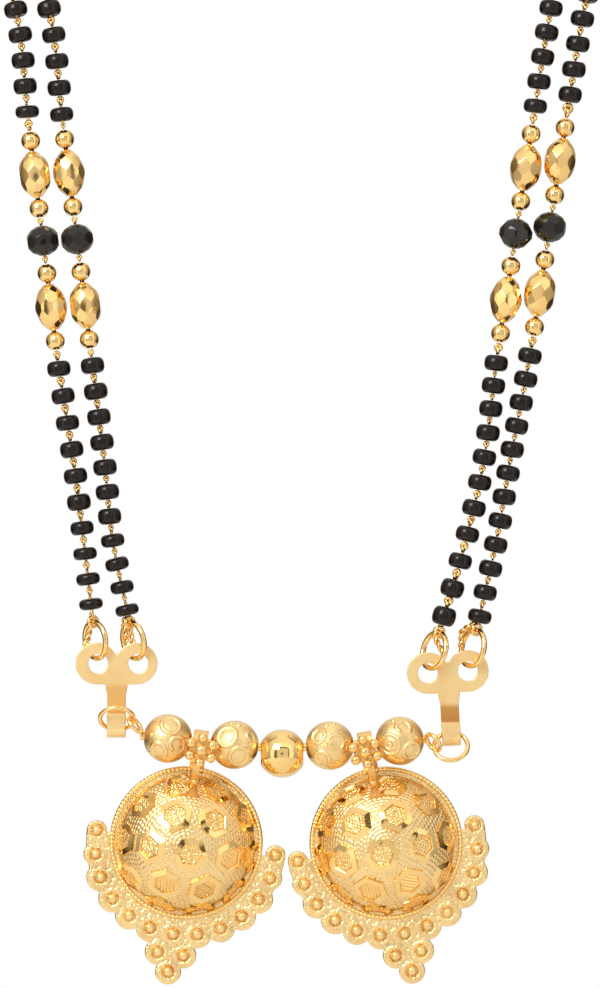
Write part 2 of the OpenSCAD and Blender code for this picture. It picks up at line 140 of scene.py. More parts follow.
# %% Build the white tent
# Where each soft edge begins and ends, as the lean of a ray across or up for one unit forward
WINDOW_EDGE, HOLE_EDGE, LENS_EDGE = (1.85, 1.25), (0.75, 0.69), (0.12, 0.06)
LINE_EDGE, LINE_ABOVE = (0.5, 0.6), (-0.5, -0.3)
WINDOW_LIGHT, HOLE_LIGHT, BLACK_LIGHT = 1.25, 0.8, 0.1
WALL_LIGHT, TOP_LIGHT, SIDE_SHADE = 0.48, 0.55, 0.44
WHITE_CLOTH, SIDE_CLOTH = (1.0, 0.985, 0.96), (1.0, 0.78, 0.55)
# The same for the cloth, as parts of a ray's direction: sideways, backward and up
SIDE_EDGE, BACK_EDGE, TOP_EDGE = (0.25, 0.75), (-0.25, 0.35), (-0.2, 0.95)

world = bpy.data.worlds.new("white_tent")
bpy.context.scene.world = world
world.use_nodes = True
sky = world.node_tree
sky.nodes.clear()
ray = node(sky, "ShaderNodeTexCoord").outputs["Generated"]
x, y, z = node(sky, "ShaderNodeSeparateXYZ", {"Vector": ray}).outputs
forward = maths(sky, "MAXIMUM", times(sky, y, -1.0), 0.001)
across = maths(sky, "ABSOLUTE", maths(sky, "DIVIDE", x, forward))
upward = maths(sky, "DIVIDE", z, forward)
square = maths(sky, "MAXIMUM", across, maths(sky, "ABSOLUTE", upward))
window = soft_step(sky, square, *WINDOW_EDGE)

# The hole that the camera looks through: a darker square, a thin black line inside it, and the lens
hole = soft_step(sky, square, *HOLE_EDGE)
line = times(sky, times(sky, hole, soft_step(sky, square, *LINE_EDGE)), soft_step(sky, upward, *LINE_ABOVE))
round_off = maths(sky, "SQRT", maths(sky, "ADD", times(sky, across, across), times(sky, upward, upward)))
black = maths(sky, "MAXIMUM", line, soft_step(sky, round_off, *LENS_EDGE))

# Cloth at the sides is darkest a little behind the necklace, and the top of the tent is bright
side = times(sky, soft_step(sky, maths(sky, "ABSOLUTE", x), *SIDE_EDGE), soft_step(sky, y, *BACK_EDGE))
tent = maths(sky, "ADD", WALL_LIGHT, times(sky, soft_step(sky, z, *TOP_EDGE), TOP_LIGHT))
tent = maths(sky, "SUBTRACT", tent, times(sky, side, SIDE_SHADE))
for share, light in ((window, WINDOW_LIGHT), (times(sky, hole, window), HOLE_LIGHT),
                     (times(sky, black, window), BLACK_LIGHT)):
    tent = blend(sky, share, tent, light)
cloth = tint(sky, side, WHITE_CLOTH, SIDE_CLOTH)
tent_light = node(sky, "ShaderNodeBackground", {"Color": cloth, "Strength": tent})
backdrop = node(sky, "ShaderNodeBackground", {"Color": (1.0, 1.0, 1.0), "Strength": 1.0})
seen = node(sky, "ShaderNodeLightPath").outputs["Is Camera Ray"]
both = node(sky, "ShaderNodeMixShader", {0: seen, 1: tent_light.outputs[0], 2: backdrop.outputs[0]})
sky.links.new(both.outputs[0], node(sky, "ShaderNodeOutputWorld").inputs["Surface"])
bpy.context.scene.view_settings.view_transform = "Standard"
print("sky nodes:", len(sky.nodes))

# %% Add a soft key lamp
KEY_POWER, KEY_SIZE, KEY_AT = 1.6, 0.25, (-0.25, -0.5, 0.12)
key = bpy.data.lights.new("key_lamp", "AREA")
key.energy, key.size = KEY_POWER, KEY_SIZE
key_lamp = bpy.data.objects.new("key_lamp", key)
key_lamp.location = KEY_AT
key_lamp.rotation_euler = (Vector(VIEW_MIDDLE) * MM - key_lamp.location).to_track_quat("-Z", "Y").to_euler()
bpy.context.scene.collection.objects.link(key_lamp)
print("key lamp:", key.size, "m wide")

# %% [markdown]
# ## Floor
# The necklace hangs by its nape, so the floor lies well below the pendants. It is a thin round board of
# matt white, just wide enough to throw light up from below and small enough to stay out of the picture.

# %% Lay the floor
def new_material(name, metallic, roughness):
    made = bpy.data.materials.new(name)
    made.use_nodes = True
    shader = made.node_tree.nodes["Principled BSDF"]
    shader.inputs["Metallic"].default_value = metallic
    shader.inputs["Roughness"].default_value = roughness
    return made, made.node_tree, shader


def matt_white():
    made, tree, shader = new_material("matt_white_board", 0.0, 0.8)
    speckle = node(tree, "ShaderNodeTexNoise", {"Scale": 60.0, "Detail": 4.0}).outputs["Fac"]
    tree.links.new(tint(tree, speckle, (0.80, 0.79, 0.77), (0.86, 0.85, 0.83)), shader.inputs["Base Color"])
    return made


FLOOR_DROP, FLOOR_R, FLOOR_T, FLOOR_Y = 0.07, 0.3, 0.004, -0.1
floor_top = cad_box[0].z - FLOOR_DROP
bpy.ops.mesh.primitive_cylinder_add(vertices=96, radius=FLOOR_R, depth=FLOOR_T,
                                    location=(0, FLOOR_Y, floor_top - FLOOR_T / 2))
floor = bpy.context.object
floor.name = "floor"
floor.data.materials.append(matt_white())
floor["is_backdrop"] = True
print("floor at", round(floor_top, 4))

# %% [markdown]
# ## Gold
# The necklace is one gold alloy with many surfaces: wires and balls are polished, facets are cut
# bright, beads are chased, domes are cast and sheets are satin. What they share is built once as node
# groups: the tone, which finds the edges, turns deeper in slow patches and gets painted shade in its
# hollows, and the grain, which gives a height for the bump. Each material then places them with its own
# values, so the gold stays the same gold everywhere.

# %% Group: gold tone with painted shade in hollows, edges and slow patches
def new_group(name, inputs, outputs):
    group = bpy.data.node_groups.new(name, "ShaderNodeTree")
    for label, kind, value in inputs:
        socket = group.interface.new_socket(label, in_out="INPUT", socket_type=kind)
        socket.default_value = value
    for label, kind in outputs:
        group.interface.new_socket(label, in_out="OUTPUT", socket_type=kind)
    return group, group.nodes.new("NodeGroupInput").outputs, group.nodes.new("NodeGroupOutput").inputs


def position_in_mm(tree):
    place = node(tree, "ShaderNodeTexCoord").outputs["Object"]
    return node(tree, "ShaderNodeVectorMath", {0: place, "Scale": 1 / MM}, operation="SCALE").outputs[0]


COLOUR, FLOAT = "NodeSocketColor", "NodeSocketFloat"
# Where hollows, edges and patches begin and end: 0.5 is a flat surface, less is hollow
HOLLOW_SHADE_SPAN, EDGE_SPAN, PATCH_SPAN = (0.5, 0.42), (0.51, 0.6), (0.35, 0.75)
gold_tone_and_hollow_shade, g_in, g_out = new_group(
    "gold_tone_and_hollow_shade",
    [("Pale", COLOUR, (1.0, 0.78, 0.4, 1)), ("Deep", COLOUR, (0.8, 0.4, 0.1, 1)), ("Hollow shade", FLOAT, 0.5),
     ("Patch size", FLOAT, 3.0), ("Patchiness", FLOAT, 0.2)],
    [("Color", COLOUR), ("Edge", FLOAT)])
# Painted shade: hollows, found from how the surface bends, turn towards the deep gold. The slow patches are
# random tone
bend_of_surface = node(gold_tone_and_hollow_shade, "ShaderNodeNewGeometry").outputs["Pointiness"]
hollow_shade = soft_step(gold_tone_and_hollow_shade, bend_of_surface, *HOLLOW_SHADE_SPAN)
patch = node(gold_tone_and_hollow_shade, "ShaderNodeTexNoise", {
    "Vector": position_in_mm(gold_tone_and_hollow_shade), "Detail": 3.0,
    "Scale": maths(gold_tone_and_hollow_shade, "DIVIDE", 1.0, g_in["Patch size"])}).outputs["Fac"]
patch = times(gold_tone_and_hollow_shade, soft_step(gold_tone_and_hollow_shade, patch, *PATCH_SPAN), g_in["Patchiness"])
hollow_shade_and_patches = maths(gold_tone_and_hollow_shade, "ADD", times(gold_tone_and_hollow_shade, hollow_shade, g_in["Hollow shade"]), patch)
gold_tone_and_hollow_shade.links.new(tint(gold_tone_and_hollow_shade, hollow_shade_and_patches, g_in["Pale"], g_in["Deep"]), g_out["Color"])
gold_tone_and_hollow_shade.links.new(soft_step(gold_tone_and_hollow_shade, bend_of_surface, *EDGE_SPAN), g_out["Edge"])

# %% Group: grain of a cast or brushed surface
metal_grain, g_in, g_out = new_group(
    "metal_grain",
    [("Grain size", FLOAT, 0.15), ("Pits", FLOAT, 0.5), ("Wave", FLOAT, 0.3)],
    [("Height", FLOAT), ("Mask", FLOAT)])
spot = position_in_mm(metal_grain)
grain_scale = maths(metal_grain, "DIVIDE", 1.0, g_in["Grain size"])
cells = node(metal_grain, "ShaderNodeTexVoronoi", {"Vector": spot, "Scale": grain_scale}).outputs["Distance"]
wave = node(metal_grain, "ShaderNodeTexNoise", {"Vector": spot, "Scale": 0.9, "Detail": 2.0}).outputs["Fac"]
height = maths(metal_grain, "SUBTRACT", times(metal_grain, wave, g_in["Wave"]),
               times(metal_grain, cells, g_in["Pits"]))
metal_grain.links.new(height, g_out["Height"])
metal_grain.links.new(cells, g_out["Mask"])
print("groups:", [g.name for g in bpy.data.node_groups])

# %% [markdown]
# ### Six golds
# A metal's colour is the colour of its reflections, so the base colour stays light and the room does
# most of the shading. The hollows, the plates' stems and the hanger get painted shade in their colour.
# The bump is a few hundredths of a millimetre: enough to make a ball's reflection wander at its edge,
# as on the real ones, and not enough to look hammered.

# %% Mix the golds
def place_group(tree, group, values):
    placed = node(tree, "ShaderNodeGroup", node_tree=group)
    for label, value in values.items():
        wire_up(tree, placed.inputs[label], value)
    return placed.outputs


def finish_surface(tree, shader, mask, rough, height, bump_mm):
    """Lets the roughness follow a mask, and the bump a height."""
    polish = node(tree, "ShaderNodeMapRange", {"Value": mask, "To Min": rough[0], "To Max": rough[1]})
    tree.links.new(polish.outputs["Result"], shader.inputs["Roughness"])
    bump = node(tree, "ShaderNodeBump", {"Height": height, "Distance": bump_mm * MM, "Strength": 1.0})
    tree.links.new(bump.outputs["Normal"], shader.inputs["Normal"])


def gold(name, pale, stem_shade_colour, hollow_shade, rough, grain, bump_mm, patchiness=0.25):
    """rough: on flats and on edges. grain: its size, and the depth of its pits and its waves. The deep colour
    is painted shade in hollows, as strong as the hollow value, and random tone in slow patches.
    """
    made, tree, shader = new_material(name, 1.0, rough[0])
    tone = place_group(tree, gold_tone_and_hollow_shade, {"Pale": pale, "Deep": stem_shade_colour, "Hollow shade": hollow_shade,
                                         "Patch size": 3.0, "Patchiness": patchiness})
    ground = place_group(tree, metal_grain, dict(zip(("Grain size", "Pits", "Wave"), grain)))
    tree.links.new(tone["Color"], shader.inputs["Base Color"])
    finish_surface(tree, shader, tone["Edge"], rough, ground["Height"], bump_mm)
    return made


# Of the first three golds, the last is a darker copy: painted shade for the hanger, which lies in shade
# behind the flower. The deep and brown golds are painted shade in hollows and random tone in slow patches
PALE_GOLD, WARM_GOLD, SHADED_HANGER_GOLD = (1.0, 0.74, 0.35), (1.0, 0.69, 0.28), (0.94, 0.6, 0.22)
DEEP_GOLD, BROWN_GOLD = (0.86, 0.46, 0.13), (0.55, 0.25, 0.07)
polished_gold = gold("polished_gold", WARM_GOLD, DEEP_GOLD, hollow_shade=0.5, rough=(0.1, 0.07),
                     grain=(0.5, 0.05, 1.0), bump_mm=0.05)
satin_gold = gold("satin_gold", PALE_GOLD, DEEP_GOLD, hollow_shade=0.9, rough=(0.42, 0.26),
                  grain=(0.12, 0.5, 0.6), bump_mm=0.02)
cast_gold = gold("cast_gold", PALE_GOLD, BROWN_GOLD, hollow_shade=1.0, rough=(0.3, 0.14),
                 grain=(0.16, 0.8, 0.6), bump_mm=0.03)
bright_cut_gold = gold("bright_cut_gold", WARM_GOLD, DEEP_GOLD, hollow_shade=0.6, rough=(0.13, 0.08),
                       grain=(0.3, 0.15, 0.8), bump_mm=0.02)
chased_gold = gold("chased_gold", PALE_GOLD, BROWN_GOLD, hollow_shade=1.0, rough=(0.38, 0.26),
                   grain=(0.3, 0.7, 0.6), bump_mm=0.04)
matt_shaded_gold = gold("matt_shaded_gold", SHADED_HANGER_GOLD, DEEP_GOLD, hollow_shade=1.0, rough=(0.36, 0.26),
                 grain=(0.25, 0.6, 0.5), bump_mm=0.03)
golds = (polished_gold, satin_gold, cast_gold, bright_cut_gold, chased_gold, matt_shaded_gold)
print("golds:", [made.name for made in golds])

# %% [markdown]
# ### Black glass
# The small beads are opaque glass, brown-black rather than pure black, with a soft fire-polished
# gloss. The four larger ones are cut, so they are smoother and mirror the window in their facets.

# %% Mix the black glass
def black_glass(name, colour, streak, roughness, grain, bump_mm, bend):
    made, tree, shader = new_material(name, 0.0, roughness)
    ground = place_group(tree, metal_grain, {"Grain size": grain, "Pits": 0.5, "Wave": 1.0})
    tree.links.new(tint(tree, ground["Mask"], colour, streak), shader.inputs["Base Color"])
    finish_surface(tree, shader, ground["Mask"], (roughness, roughness * 1.6), ground["Height"], bump_mm)
    shader.inputs["IOR"].default_value = bend
    return made


bead_glass = black_glass("black_bead_glass", (0.004, 0.0025, 0.002), (0.012, 0.007, 0.005),
                         roughness=0.1, grain=0.7, bump_mm=0.02, bend=1.38)
cut_glass = black_glass("black_cut_glass", (0.006, 0.004, 0.003), (0.016, 0.01, 0.007),
                        roughness=0.06, grain=0.9, bump_mm=0.01, bend=1.48)
print("glasses:", bead_glass.name, cut_glass.name)

# %% [markdown]
# ## Shapes from numbers
# Beads, wires and rings could be built from Blender's ready-made solids, but there are hundreds of
# them. Here a shape is only two lists, its points in millimetres and its faces, so many small
# shapes can be moved, joined and handed over as one mesh. Two makers cover most of them: a profile
# turned round an axis, and a wire that follows a path.

# %% Makers: turned profile and wire
POLE = 1e-6
FIRST_SIDE = (0.31, 0.2, 0.93)  # a direction that no wire starts in


def unit(vectors):
    return vectors / np.linalg.norm(vectors, axis=-1, keepdims=True)


def circle(radius, steps):
    return [(radius * cos(2 * pi * i / steps), radius * sin(2 * pi * i / steps), 0) for i in range(steps)]


def numbered(rows, columns):
    return [list(range(i * columns, (i + 1) * columns)) for i in range(rows)]


def skinned(rows, around=True):
    """Faces between neighbouring rows of point numbers. A row of one point ends in triangles."""
    return [tuple(dict.fromkeys((low[j - 1], low[j], high[j], high[j - 1])))
            for low, high in zip(rows, rows[1:]) for j in [*range(1, len(low)), *([0] if around else [])]]


def turned(profile, sides, closed=False):
    """Turns (radius, height) points round the Z axis. A radius of 0 closes an end."""
    points, rows = [], []
    for radius, up in profile:
        ring = circle(radius, sides) if radius > POLE else [(0, 0, 0)]
        rows.append([len(points) + j % len(ring) for j in range(sides)])
        points += [(x, y, up) for x, y, _ in ring]
    return np.array(points, float), skinned(rows + rows[:1] if closed else rows)


def ball(radius, rings, sides):
    leans = [pi * i / rings for i in range(rings + 1)]
    return turned([(radius * sin(a), -radius * cos(a)) for a in leans], sides)


def wire(path, radius, sides, closed=False):
    """A round wire along a path, untwisted. The radius may change along it. Open ends are capped."""
    path = np.array(path, float)
    count = len(path)
    heading = unit(np.roll(path, -1, 0) - np.roll(path, 1, 0) if closed else np.gradient(path, axis=0))
    side, across = np.cross(heading[0], FIRST_SIDE), []
    for direction in heading:
        side = unit(side - direction * side.dot(direction))
        across.append(side)
    across = np.array(across)
    radii = np.broadcast_to(np.array(radius, float), (count,))[:, None, None]
    turn = 2 * pi * np.arange(sides)[None, :, None] / sides
    ring = np.cos(turn) * across[:, None] + np.sin(turn) * np.cross(heading, across)[:, None]
    rows = numbered(count, sides)
    faces = skinned(rows + rows[:1]) if closed else skinned(rows) + [tuple(rows[0][::-1]), tuple(rows[-1])]
    return (path[:, None] + radii * ring).reshape(-1, 3), faces


# %% Moving and joining shapes, and handing one to Blender as a piece of the necklace
def moved(shape, matrix):
    points, faces = shape
    grid = np.array(matrix)
    return points @ grid[:3, :3].T + grid[:3, 3], faces


def joined(shapes):
    points, faces, start = [], [], 0
    for more, round_faces in shapes:
        points.append(more)
        faces += [tuple(start + i for i in face) for face in round_faces]
        start += len(more)
    return np.concatenate(points), faces


def spin(degrees, axis):
    return Matrix.Rotation(radians(degrees), 4, axis)


def shift(x, y, z):
    return Matrix.Translation((x, y, z))


def aim(at, direction):
    """Stands a piece that was made along Z at a place and in a direction, as the solids do."""
    x, y, z = unit(np.array(direction, float))
    turn, lean = atan2(y, x), acos(max(-1, min(1, z)))
    return shift(*at) @ Matrix.Rotation(turn, 4, "Z") @ Matrix.Rotation(lean, 4, "Y")


def tipped(uneven, most):
    """Tips a piece at random, up to so many degrees each way."""
    return spin(2 * most * uneven.random() - most, "X") @ spin(2 * most * uneven.random() - most, "Y")


def add_piece(name, shape, material, body, stands_for, smooth_angle=None):
    points, faces = shape
    mesh = bpy.data.meshes.new(name)
    mesh.from_pydata((points * MM).tolist(), [], faces)
    mesh.polygons.foreach_set("use_smooth", [True] * len(mesh.polygons))
    if smooth_angle:
        mesh.set_sharp_from_angle(angle=radians(smooth_angle))
    mesh.materials.append(material)
    piece = bpy.data.objects.new(name, mesh)
    bpy.context.scene.collection.objects.link(piece)
    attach(piece, body)
    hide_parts(*stands_for)


def triangles(shape):
    return sum(len(face) - 2 for face in shape[1])


# %% [markdown]
# ## The two strands
# Each strand is a row of small black beads. The beads are not threaded: each sits on its own short
# pin, and the pins' end loops hook into each other, so a gap between two beads shows two tiny gold
# loops, one facing forward and one edge-on. The route of each strand is a smooth curve through the
# same points as the solids, and the beads are spaced along it by length.

# %% Route of each strand, in millimetres
STRANDS = ("left_outer", "left_inner", "right_inner", "right_outer")
SIDE_SIGN = (-1, -1, 1, 1)
INNER_NECK = [(7, 1.8, 2.2), (32, -5, 0), (51, -24, -5), (58, -48, -18), (56, -73, -38), (46, -96, -60),
              (37, -109, -81)]
OUTER_NECK = [(7, 1.8, -2.2), (33, -4, -5), (54, -22, -10), (62, -47, -23), (60, -74, -43),
              (50.5, -97, -63), (41.5, -109, -82)]
FRONT_TOP = [(-34.7, -100), (-30.5, -100), (32.7, -100), (36.9, -100)]
CUT_BEAD_AT = [(-31, -130.1), (-26.75, -129.9), (28.1, -129.2), (32.35, -128.4)]
CUT_BEAD_LEAN = [-7, -7, 8.7, 8.7]
FRONT_LOW = [[(-27, -159)], [(-23.3, -158), (-22.3, -167.5)], [(24.2, -157), (22, -167)],
             [(27.5, -157), (25.8, -167)]]
PLATE_AT, PLATE_TILT, HOLE_PITCH = [(-21.6, -182.95), (19.6, -184)], [0, 3], 5
LEAD_IN, LOOK_AHEAD = 25, 0.4
# Above a plate's hole: where the beads end, and the thin neck of the eye
SEEDS_UP, NECK_UP = 6.395, 6.245
# From the middle of the cut bead: the ends of the accents, their balls and the gold ovals
GROUP_HALF, FAR_BALL, NEAR_BALL, OVAL_OFF = 14.965, 12.615, 4.075, 8.345


def in_front(point):
    return np.array((point[0], FRONT_Y, point[1]), float)


def smooth_route(points, step=0.25):
    """Curve through all points but the first and the last, which only give its direction."""
    p, out = [np.array(q, float) for q in points], []
    for a, b, c, d in zip(p, p[1:], p[2:], p[3:]):
        parts = max(4, ceil(np.linalg.norm(c - b) / step))
        out += [0.5 * (2 * b + (c - a) * t + (2 * a - 5 * b + 4 * c - d) * t * t
                       + (3 * b - a - 3 * c + d) * t ** 3) for t in np.arange(parts) / parts]
    return np.array(out + [p[-2]])


def hole_at(k):
    (x, z), tilt, off = PLATE_AT[k // 2], radians(PLATE_TILT[k // 2]), HOLE_PITCH * (k % 2 - 0.5)
    return in_front((x + off * cos(tilt), z + off * sin(tilt)))


def end_direction(k):
    return unit(in_front(FRONT_LOW[k][-1]) - hole_at(k))


def cut_direction(k):
    return np.array((sin(radians(CUT_BEAD_LEAN[k])), 0, cos(radians(CUT_BEAD_LEAN[k]))))


def upper_route(k):
    neck = [(SIDE_SIGN[k] * x, y, z) for x, y, z in (OUTER_NECK if k in (0, 3) else INNER_NECK)]
    centre = in_front(CUT_BEAD_AT[k])
    start = (neck[0][0] - SIDE_SIGN[k] * LEAD_IN, neck[0][1], neck[0][2])
    return smooth_route([start, *neck, in_front(FRONT_TOP[k]), centre + GROUP_HALF * cut_direction(k),
                         centre])


def lower_route(k):
    centre = in_front(CUT_BEAD_AT[k])
    return smooth_route([centre, centre - GROUP_HALF * cut_direction(k), *map(in_front, FRONT_LOW[k]),
                         hole_at(k) + SEEDS_UP * end_direction(k), hole_at(k)])


def measured(route):
    """Length along a route up to each of its points."""
    return np.concatenate([[0], np.cumsum(np.linalg.norm(np.diff(route, axis=0), axis=1))])


def places(route, distances):
    length = measured(route)
    return np.stack([np.interp(distances, length, column) for column in route.T], 1)


def spots(route, distances):
    """Places and directions at the given lengths along a route."""
    ahead, behind = places(route, distances + LOOK_AHEAD), places(route, distances - LOOK_AHEAD)
    return places(route, distances), unit(ahead - behind)


for k, name in enumerate(STRANDS):
    lengths = [round(measured(route(k))[-1], 1) for route in (upper_route, lower_route)]
    print(name, "upper and lower part in mm:", lengths)

# %% [markdown]
# ### Small black beads
# A bead is a low barrel, 3 mm across and 2 mm long, with a rounded edge and a dimple at its hole. Real
# ones come out of the fire a little uneven, so each gets its own size and tilt. All beads of one
# strand are one mesh, because the strand moves as one piece.

# %% String the black beads
BEAD_HALF = 1.0
BEAD_PROFILE = [(0.38, -0.6), (0.48, -0.84), (0.72, -0.98), (0.98, -0.98), (1.22, -0.86), (1.4, -0.62),
                (1.49, -0.32), (1.51, 0)]
# Most that a bead lacks of its width, its least length and what may come on top, and most tilt in degrees
NARROWER, SHORTEST, LONGER, BEAD_TILT = 0.02, 0.94, 0.08, 2.5
# Along each strand: from the clasp to the first bead, pitch, and from the last bead to the accents.
# The twelve beads next to the accents keep the pitch, and those above them share what is left
TOP_MARGIN, KEEP_PITCH = 1.3, 12
UPPER_PITCH, OVER_GROUP = [3.22, 3.33, 3.1, 3.2], [1.28, 0.75, 1.17, 1.8]
# Below the accents: to the first bead, from the last bead to the eye, how many beads, and how much
# wider they stand at one end than at the other
UNDER_GROUP, END_MARGIN = [1.15, 0.95, 1.4, 1.3], [1.1, 0.45, 1.0, 0.6]
LOWER_COUNT, LOWER_EASE = [10, 11, 11, 12], [0.05, 0.06, -0.14, -0.02]
# Shorter or longer ones: the bead above the accents, and the last four, counted from the eye upwards
ABOVE_ACCENTS = [0.8, 0.86, 0.9, 1.0]
LAST_BEADS = [[0.7, 0.78, 0.8, 0.84], [0.7, 0.78, 0.8, 0.84], [1.15, 1.1, 1.0, 1.0], [0.85, 1.0, 1.0, 1.0]]
bead_shape = turned(BEAD_PROFILE + [(r, -h) for r, h in BEAD_PROFILE[-2::-1]], 22, closed=True)


def strand_spots(k):
    """Places and directions of a strand's black beads: above the accents from the top, then below them."""
    top, low = upper_route(k), lower_route(k)
    last, pitch = measured(top)[-1] - OVER_GROUP[k], UPPER_PITCH[k]
    others = int((last - TOP_MARGIN) / pitch) + 1 - KEEP_PITCH
    upper = np.append(np.linspace(TOP_MARGIN, last - KEEP_PITCH * pitch, others),
                      last - pitch * np.arange(KEEP_PITCH - 1, -1, -1))
    part = np.linspace(0, 1, LOWER_COUNT[k])
    part = part + LOWER_EASE[k] * part * (1 - part)
    reach = measured(low)[-1] - END_MARGIN[k] - UNDER_GROUP[k]
    return spots(top, upper), spots(low, UNDER_GROUP[k] + part * reach)


for k, name in enumerate(STRANDS):
    uneven = np.random.default_rng(20 + k)
    (top_at, top_along), (low_at, low_along) = strand_spots(k)
    share = np.ones(len(top_at) + len(low_at))
    share[len(top_at) - 1] = ABOVE_ACCENTS[k]
    share[-4:] = LAST_BEADS[k][::-1]
    beads = []
    for at, direction, less in zip([*top_at, *low_at], [*top_along, *low_along], share):
        width = 1 - NARROWER * uneven.random()
        length = (SHORTEST + LONGER * uneven.random()) * less
        lie = aim(at, direction) @ tipped(uneven, BEAD_TILT) @ Matrix.Diagonal((width, width, length, 1))
        beads.append(moved(bead_shape, lie))
    strand = joined(beads)
    add_piece("black_beads_" + name, strand, bead_glass, "necklace", ["string_" + name])
    print(name, len(beads), "beads,", triangles(strand), "triangles")

# %% [markdown]
# ### Pins and loops between the beads
# A pin of soft wire runs through each bead and ends in a loop on both sides. The loops are bent from
# the pin itself, so they are the same wire. Each pair is hooked at a right angle. At its lower end
# each strand is tied to a ring with the same wire, twisted double and left standing beside the ring.

# %% Make a hooked pair and a twisted end
PIN_R, LOOP_R, HOOKED = 0.21, 0.34, 0.14
TWIST_R, TWIST_PITCH, TWIST_WIRE = 0.2, 1.7, 0.2
loop_shape = wire(circle(LOOP_R, 14), PIN_R, 6, closed=True)
# Twisted ends of each strand: across, up from the plate's hole and back, in millimetres
TWISTED_ENDS = [
    [[(0, 6.2, 0), (-0.35, 5.3, 0.5), (-0.64, 4.2, 0.9), (-1.0, 3.2, 0.9), (-1.35, 2.75, 0.8),
      (-1.2, 2.35, 0.7), (-0.9, 2.6, 0.7)]],
    [[(0, 6.2, 0), (-0.7, 5.5, 0.4), (-0.85, 4.4, 0.8), (-0.95, 2.9, 0.9)],
     [(0, 6.1, 0), (-0.1, 5.0, 0.3), (-0.15, 4.0, 0.6), (-0.2, 2.3, 0.9)]],
    [[(0, 6.2, 0), (-0.5, 5.3, -0.2), (-0.1, 4.2, -0.3), (0.9, 3.2, -0.5), (1.25, 2.75, -0.65)]],
    [[(0, 6.2, 0), (-0.8, 5.65, 0.4), (-1.7, 4.7, 0.8), (-1.6, 3.6, 0.9), (-1.45, 2.7, 0.9)]]]


def hooked_pair(at, direction, gap, turn):
    """Two hooked loops that fill a gap: the upper one faces the front, the lower one stands edge-on."""
    facing = unit(np.array((0, -1.0, 0)) + direction * direction[1])
    columns = (np.cross(direction, facing), direction, facing, at)
    place = Matrix([[column[i] for column in columns] for i in range(3)] + [[0, 0, 0, 1]])
    size = gap / (2 * (2 * LOOP_R + PIN_R - HOOKED))
    rise = gap / 2 - (LOOP_R + PIN_R) * size
    return [moved(loop_shape, place @ spin(turn + more, "Y") @ shift(0, up, 0) @ Matrix.Scale(size, 4))
            for more, up in ((0, rise), (90, -rise))]


def twisted_end(k, path):
    """Two wires twisted round each other along a path beside the ring at the strand's end."""
    up = end_direction(k)
    across = np.array((up[2], 0, -up[0]))
    points = [hole_at(k) + a * across + u * up + np.array((0, b, 0)) for a, u, b in path]
    route = smooth_route([2 * points[0] - points[1], *points, 2 * points[-1] - points[-2]], 0.12)
    heading = unit(np.gradient(route, axis=0))
    one = unit(np.cross(heading, (0, 1.0, 0)))
    turn = measured(route)[:, None] * 2 * pi / TWIST_PITCH
    swirl = TWIST_R * (np.cos(turn) * one + np.sin(turn) * np.cross(heading, one))
    return [wire(route + way * swirl, TWIST_WIRE, 8) for way in (1, -1)]


# %% Hook the pins together
SOCKET_X = 3.6
WIRE_R, NECK_R, WIRE_SIDES = 0.3, 0.2, 10
# How far the loops reach into a bead's dimples, how far from its middle they meet a gold ball and a cut
# bead, how far the wire inside the accents runs past the middle of a ball, and into the eye's neck
INTO_BEAD, BALL_HALF, CUT_HALF, PAST_BALL, INTO_NECK = 0.06, 1.17, 1.84, 1.1, 0.02
# Loops hang turned by up to so many degrees, between black beads and between the accents
LOOP_TURN, ACCENT_TURN = 30, 25
for k, name in enumerate(STRANDS):
    uneven = np.random.default_rng(40 + k)
    parts = strand_spots(k)
    centre, up = in_front(CUT_BEAD_AT[k]), cut_direction(k)
    links = []
    for at, direction in parts:
        for above, below in zip(at, at[1:]):
            gap = np.linalg.norm(below - above) - 2 * BEAD_HALF + INTO_BEAD
            turn = uneven.uniform(-LOOP_TURN, LOOP_TURN)
            links += hooked_pair((above + below) / 2, unit(above - below), gap, turn)
        links += [wire([place - heading * BEAD_HALF, place + heading * BEAD_HALF], PIN_R, 6)
                  for place, heading in zip(at, direction)]
    for side, first in ((1, OVER_GROUP[k]), (-1, UNDER_GROUP[k])):
        # Between the first black bead and the far ball, and between the near ball and the cut bead
        for low, high in ((FAR_BALL + BALL_HALF, GROUP_HALF + first - BEAD_HALF + INTO_BEAD / 2),
                          (CUT_HALF, NEAR_BALL - BALL_HALF)):
            turn = uneven.uniform(-ACCENT_TURN, ACCENT_TURN)
            links += hooked_pair(centre + side * (low + high) / 2 * up, up, high - low, turn)
        inside = [centre + side * off * up for off in (NEAR_BALL - PAST_BALL, FAR_BALL + PAST_BALL)]
        links.append(wire(inside, WIRE_R, WIRE_SIDES))
    links.append(wire([centre - CUT_HALF * up, centre + CUT_HALF * up], WIRE_R, WIRE_SIDES))
    first, last = parts[0][0][0], parts[1][0][-1]
    links.append(wire([(SIDE_SIGN[k] * SOCKET_X, first[1], first[2]), first], WIRE_R, WIRE_SIDES))
    links.append(wire([last, hole_at(k) + (NECK_UP + INTO_NECK) * end_direction(k)], NECK_R, WIRE_SIDES))
    for path in TWISTED_ENDS[k]:
        links += twisted_end(k, path)
    pins = joined(links)
    add_piece("pins_" + name, pins, polished_gold, "necklace", ["string_" + name])
    print(name, "pins and loops:", triangles(pins), "triangles")

# %% [markdown]
# ### Cut ovals and cut black beads
# The gold ovals and the four larger black beads are ground with flat facets in staggered rows. A
# facet is what is left when a flat wheel touches the bead, so the code does the same: it starts with
# a block and slices off one plane for each facet, then softens the edges by a few hundredths of a
# millimetre, as plating and polishing do.

# %% Grind a bead, facet by facet
FACETS = 8
WELD = 0.002


def shape_of(work):
    """Points and faces of a workpiece, which is then put away."""
    shape = np.array([v.co[:] for v in work.verts]), [tuple(v.index for v in f.verts) for f in work.faces]
    work.free()
    return shape


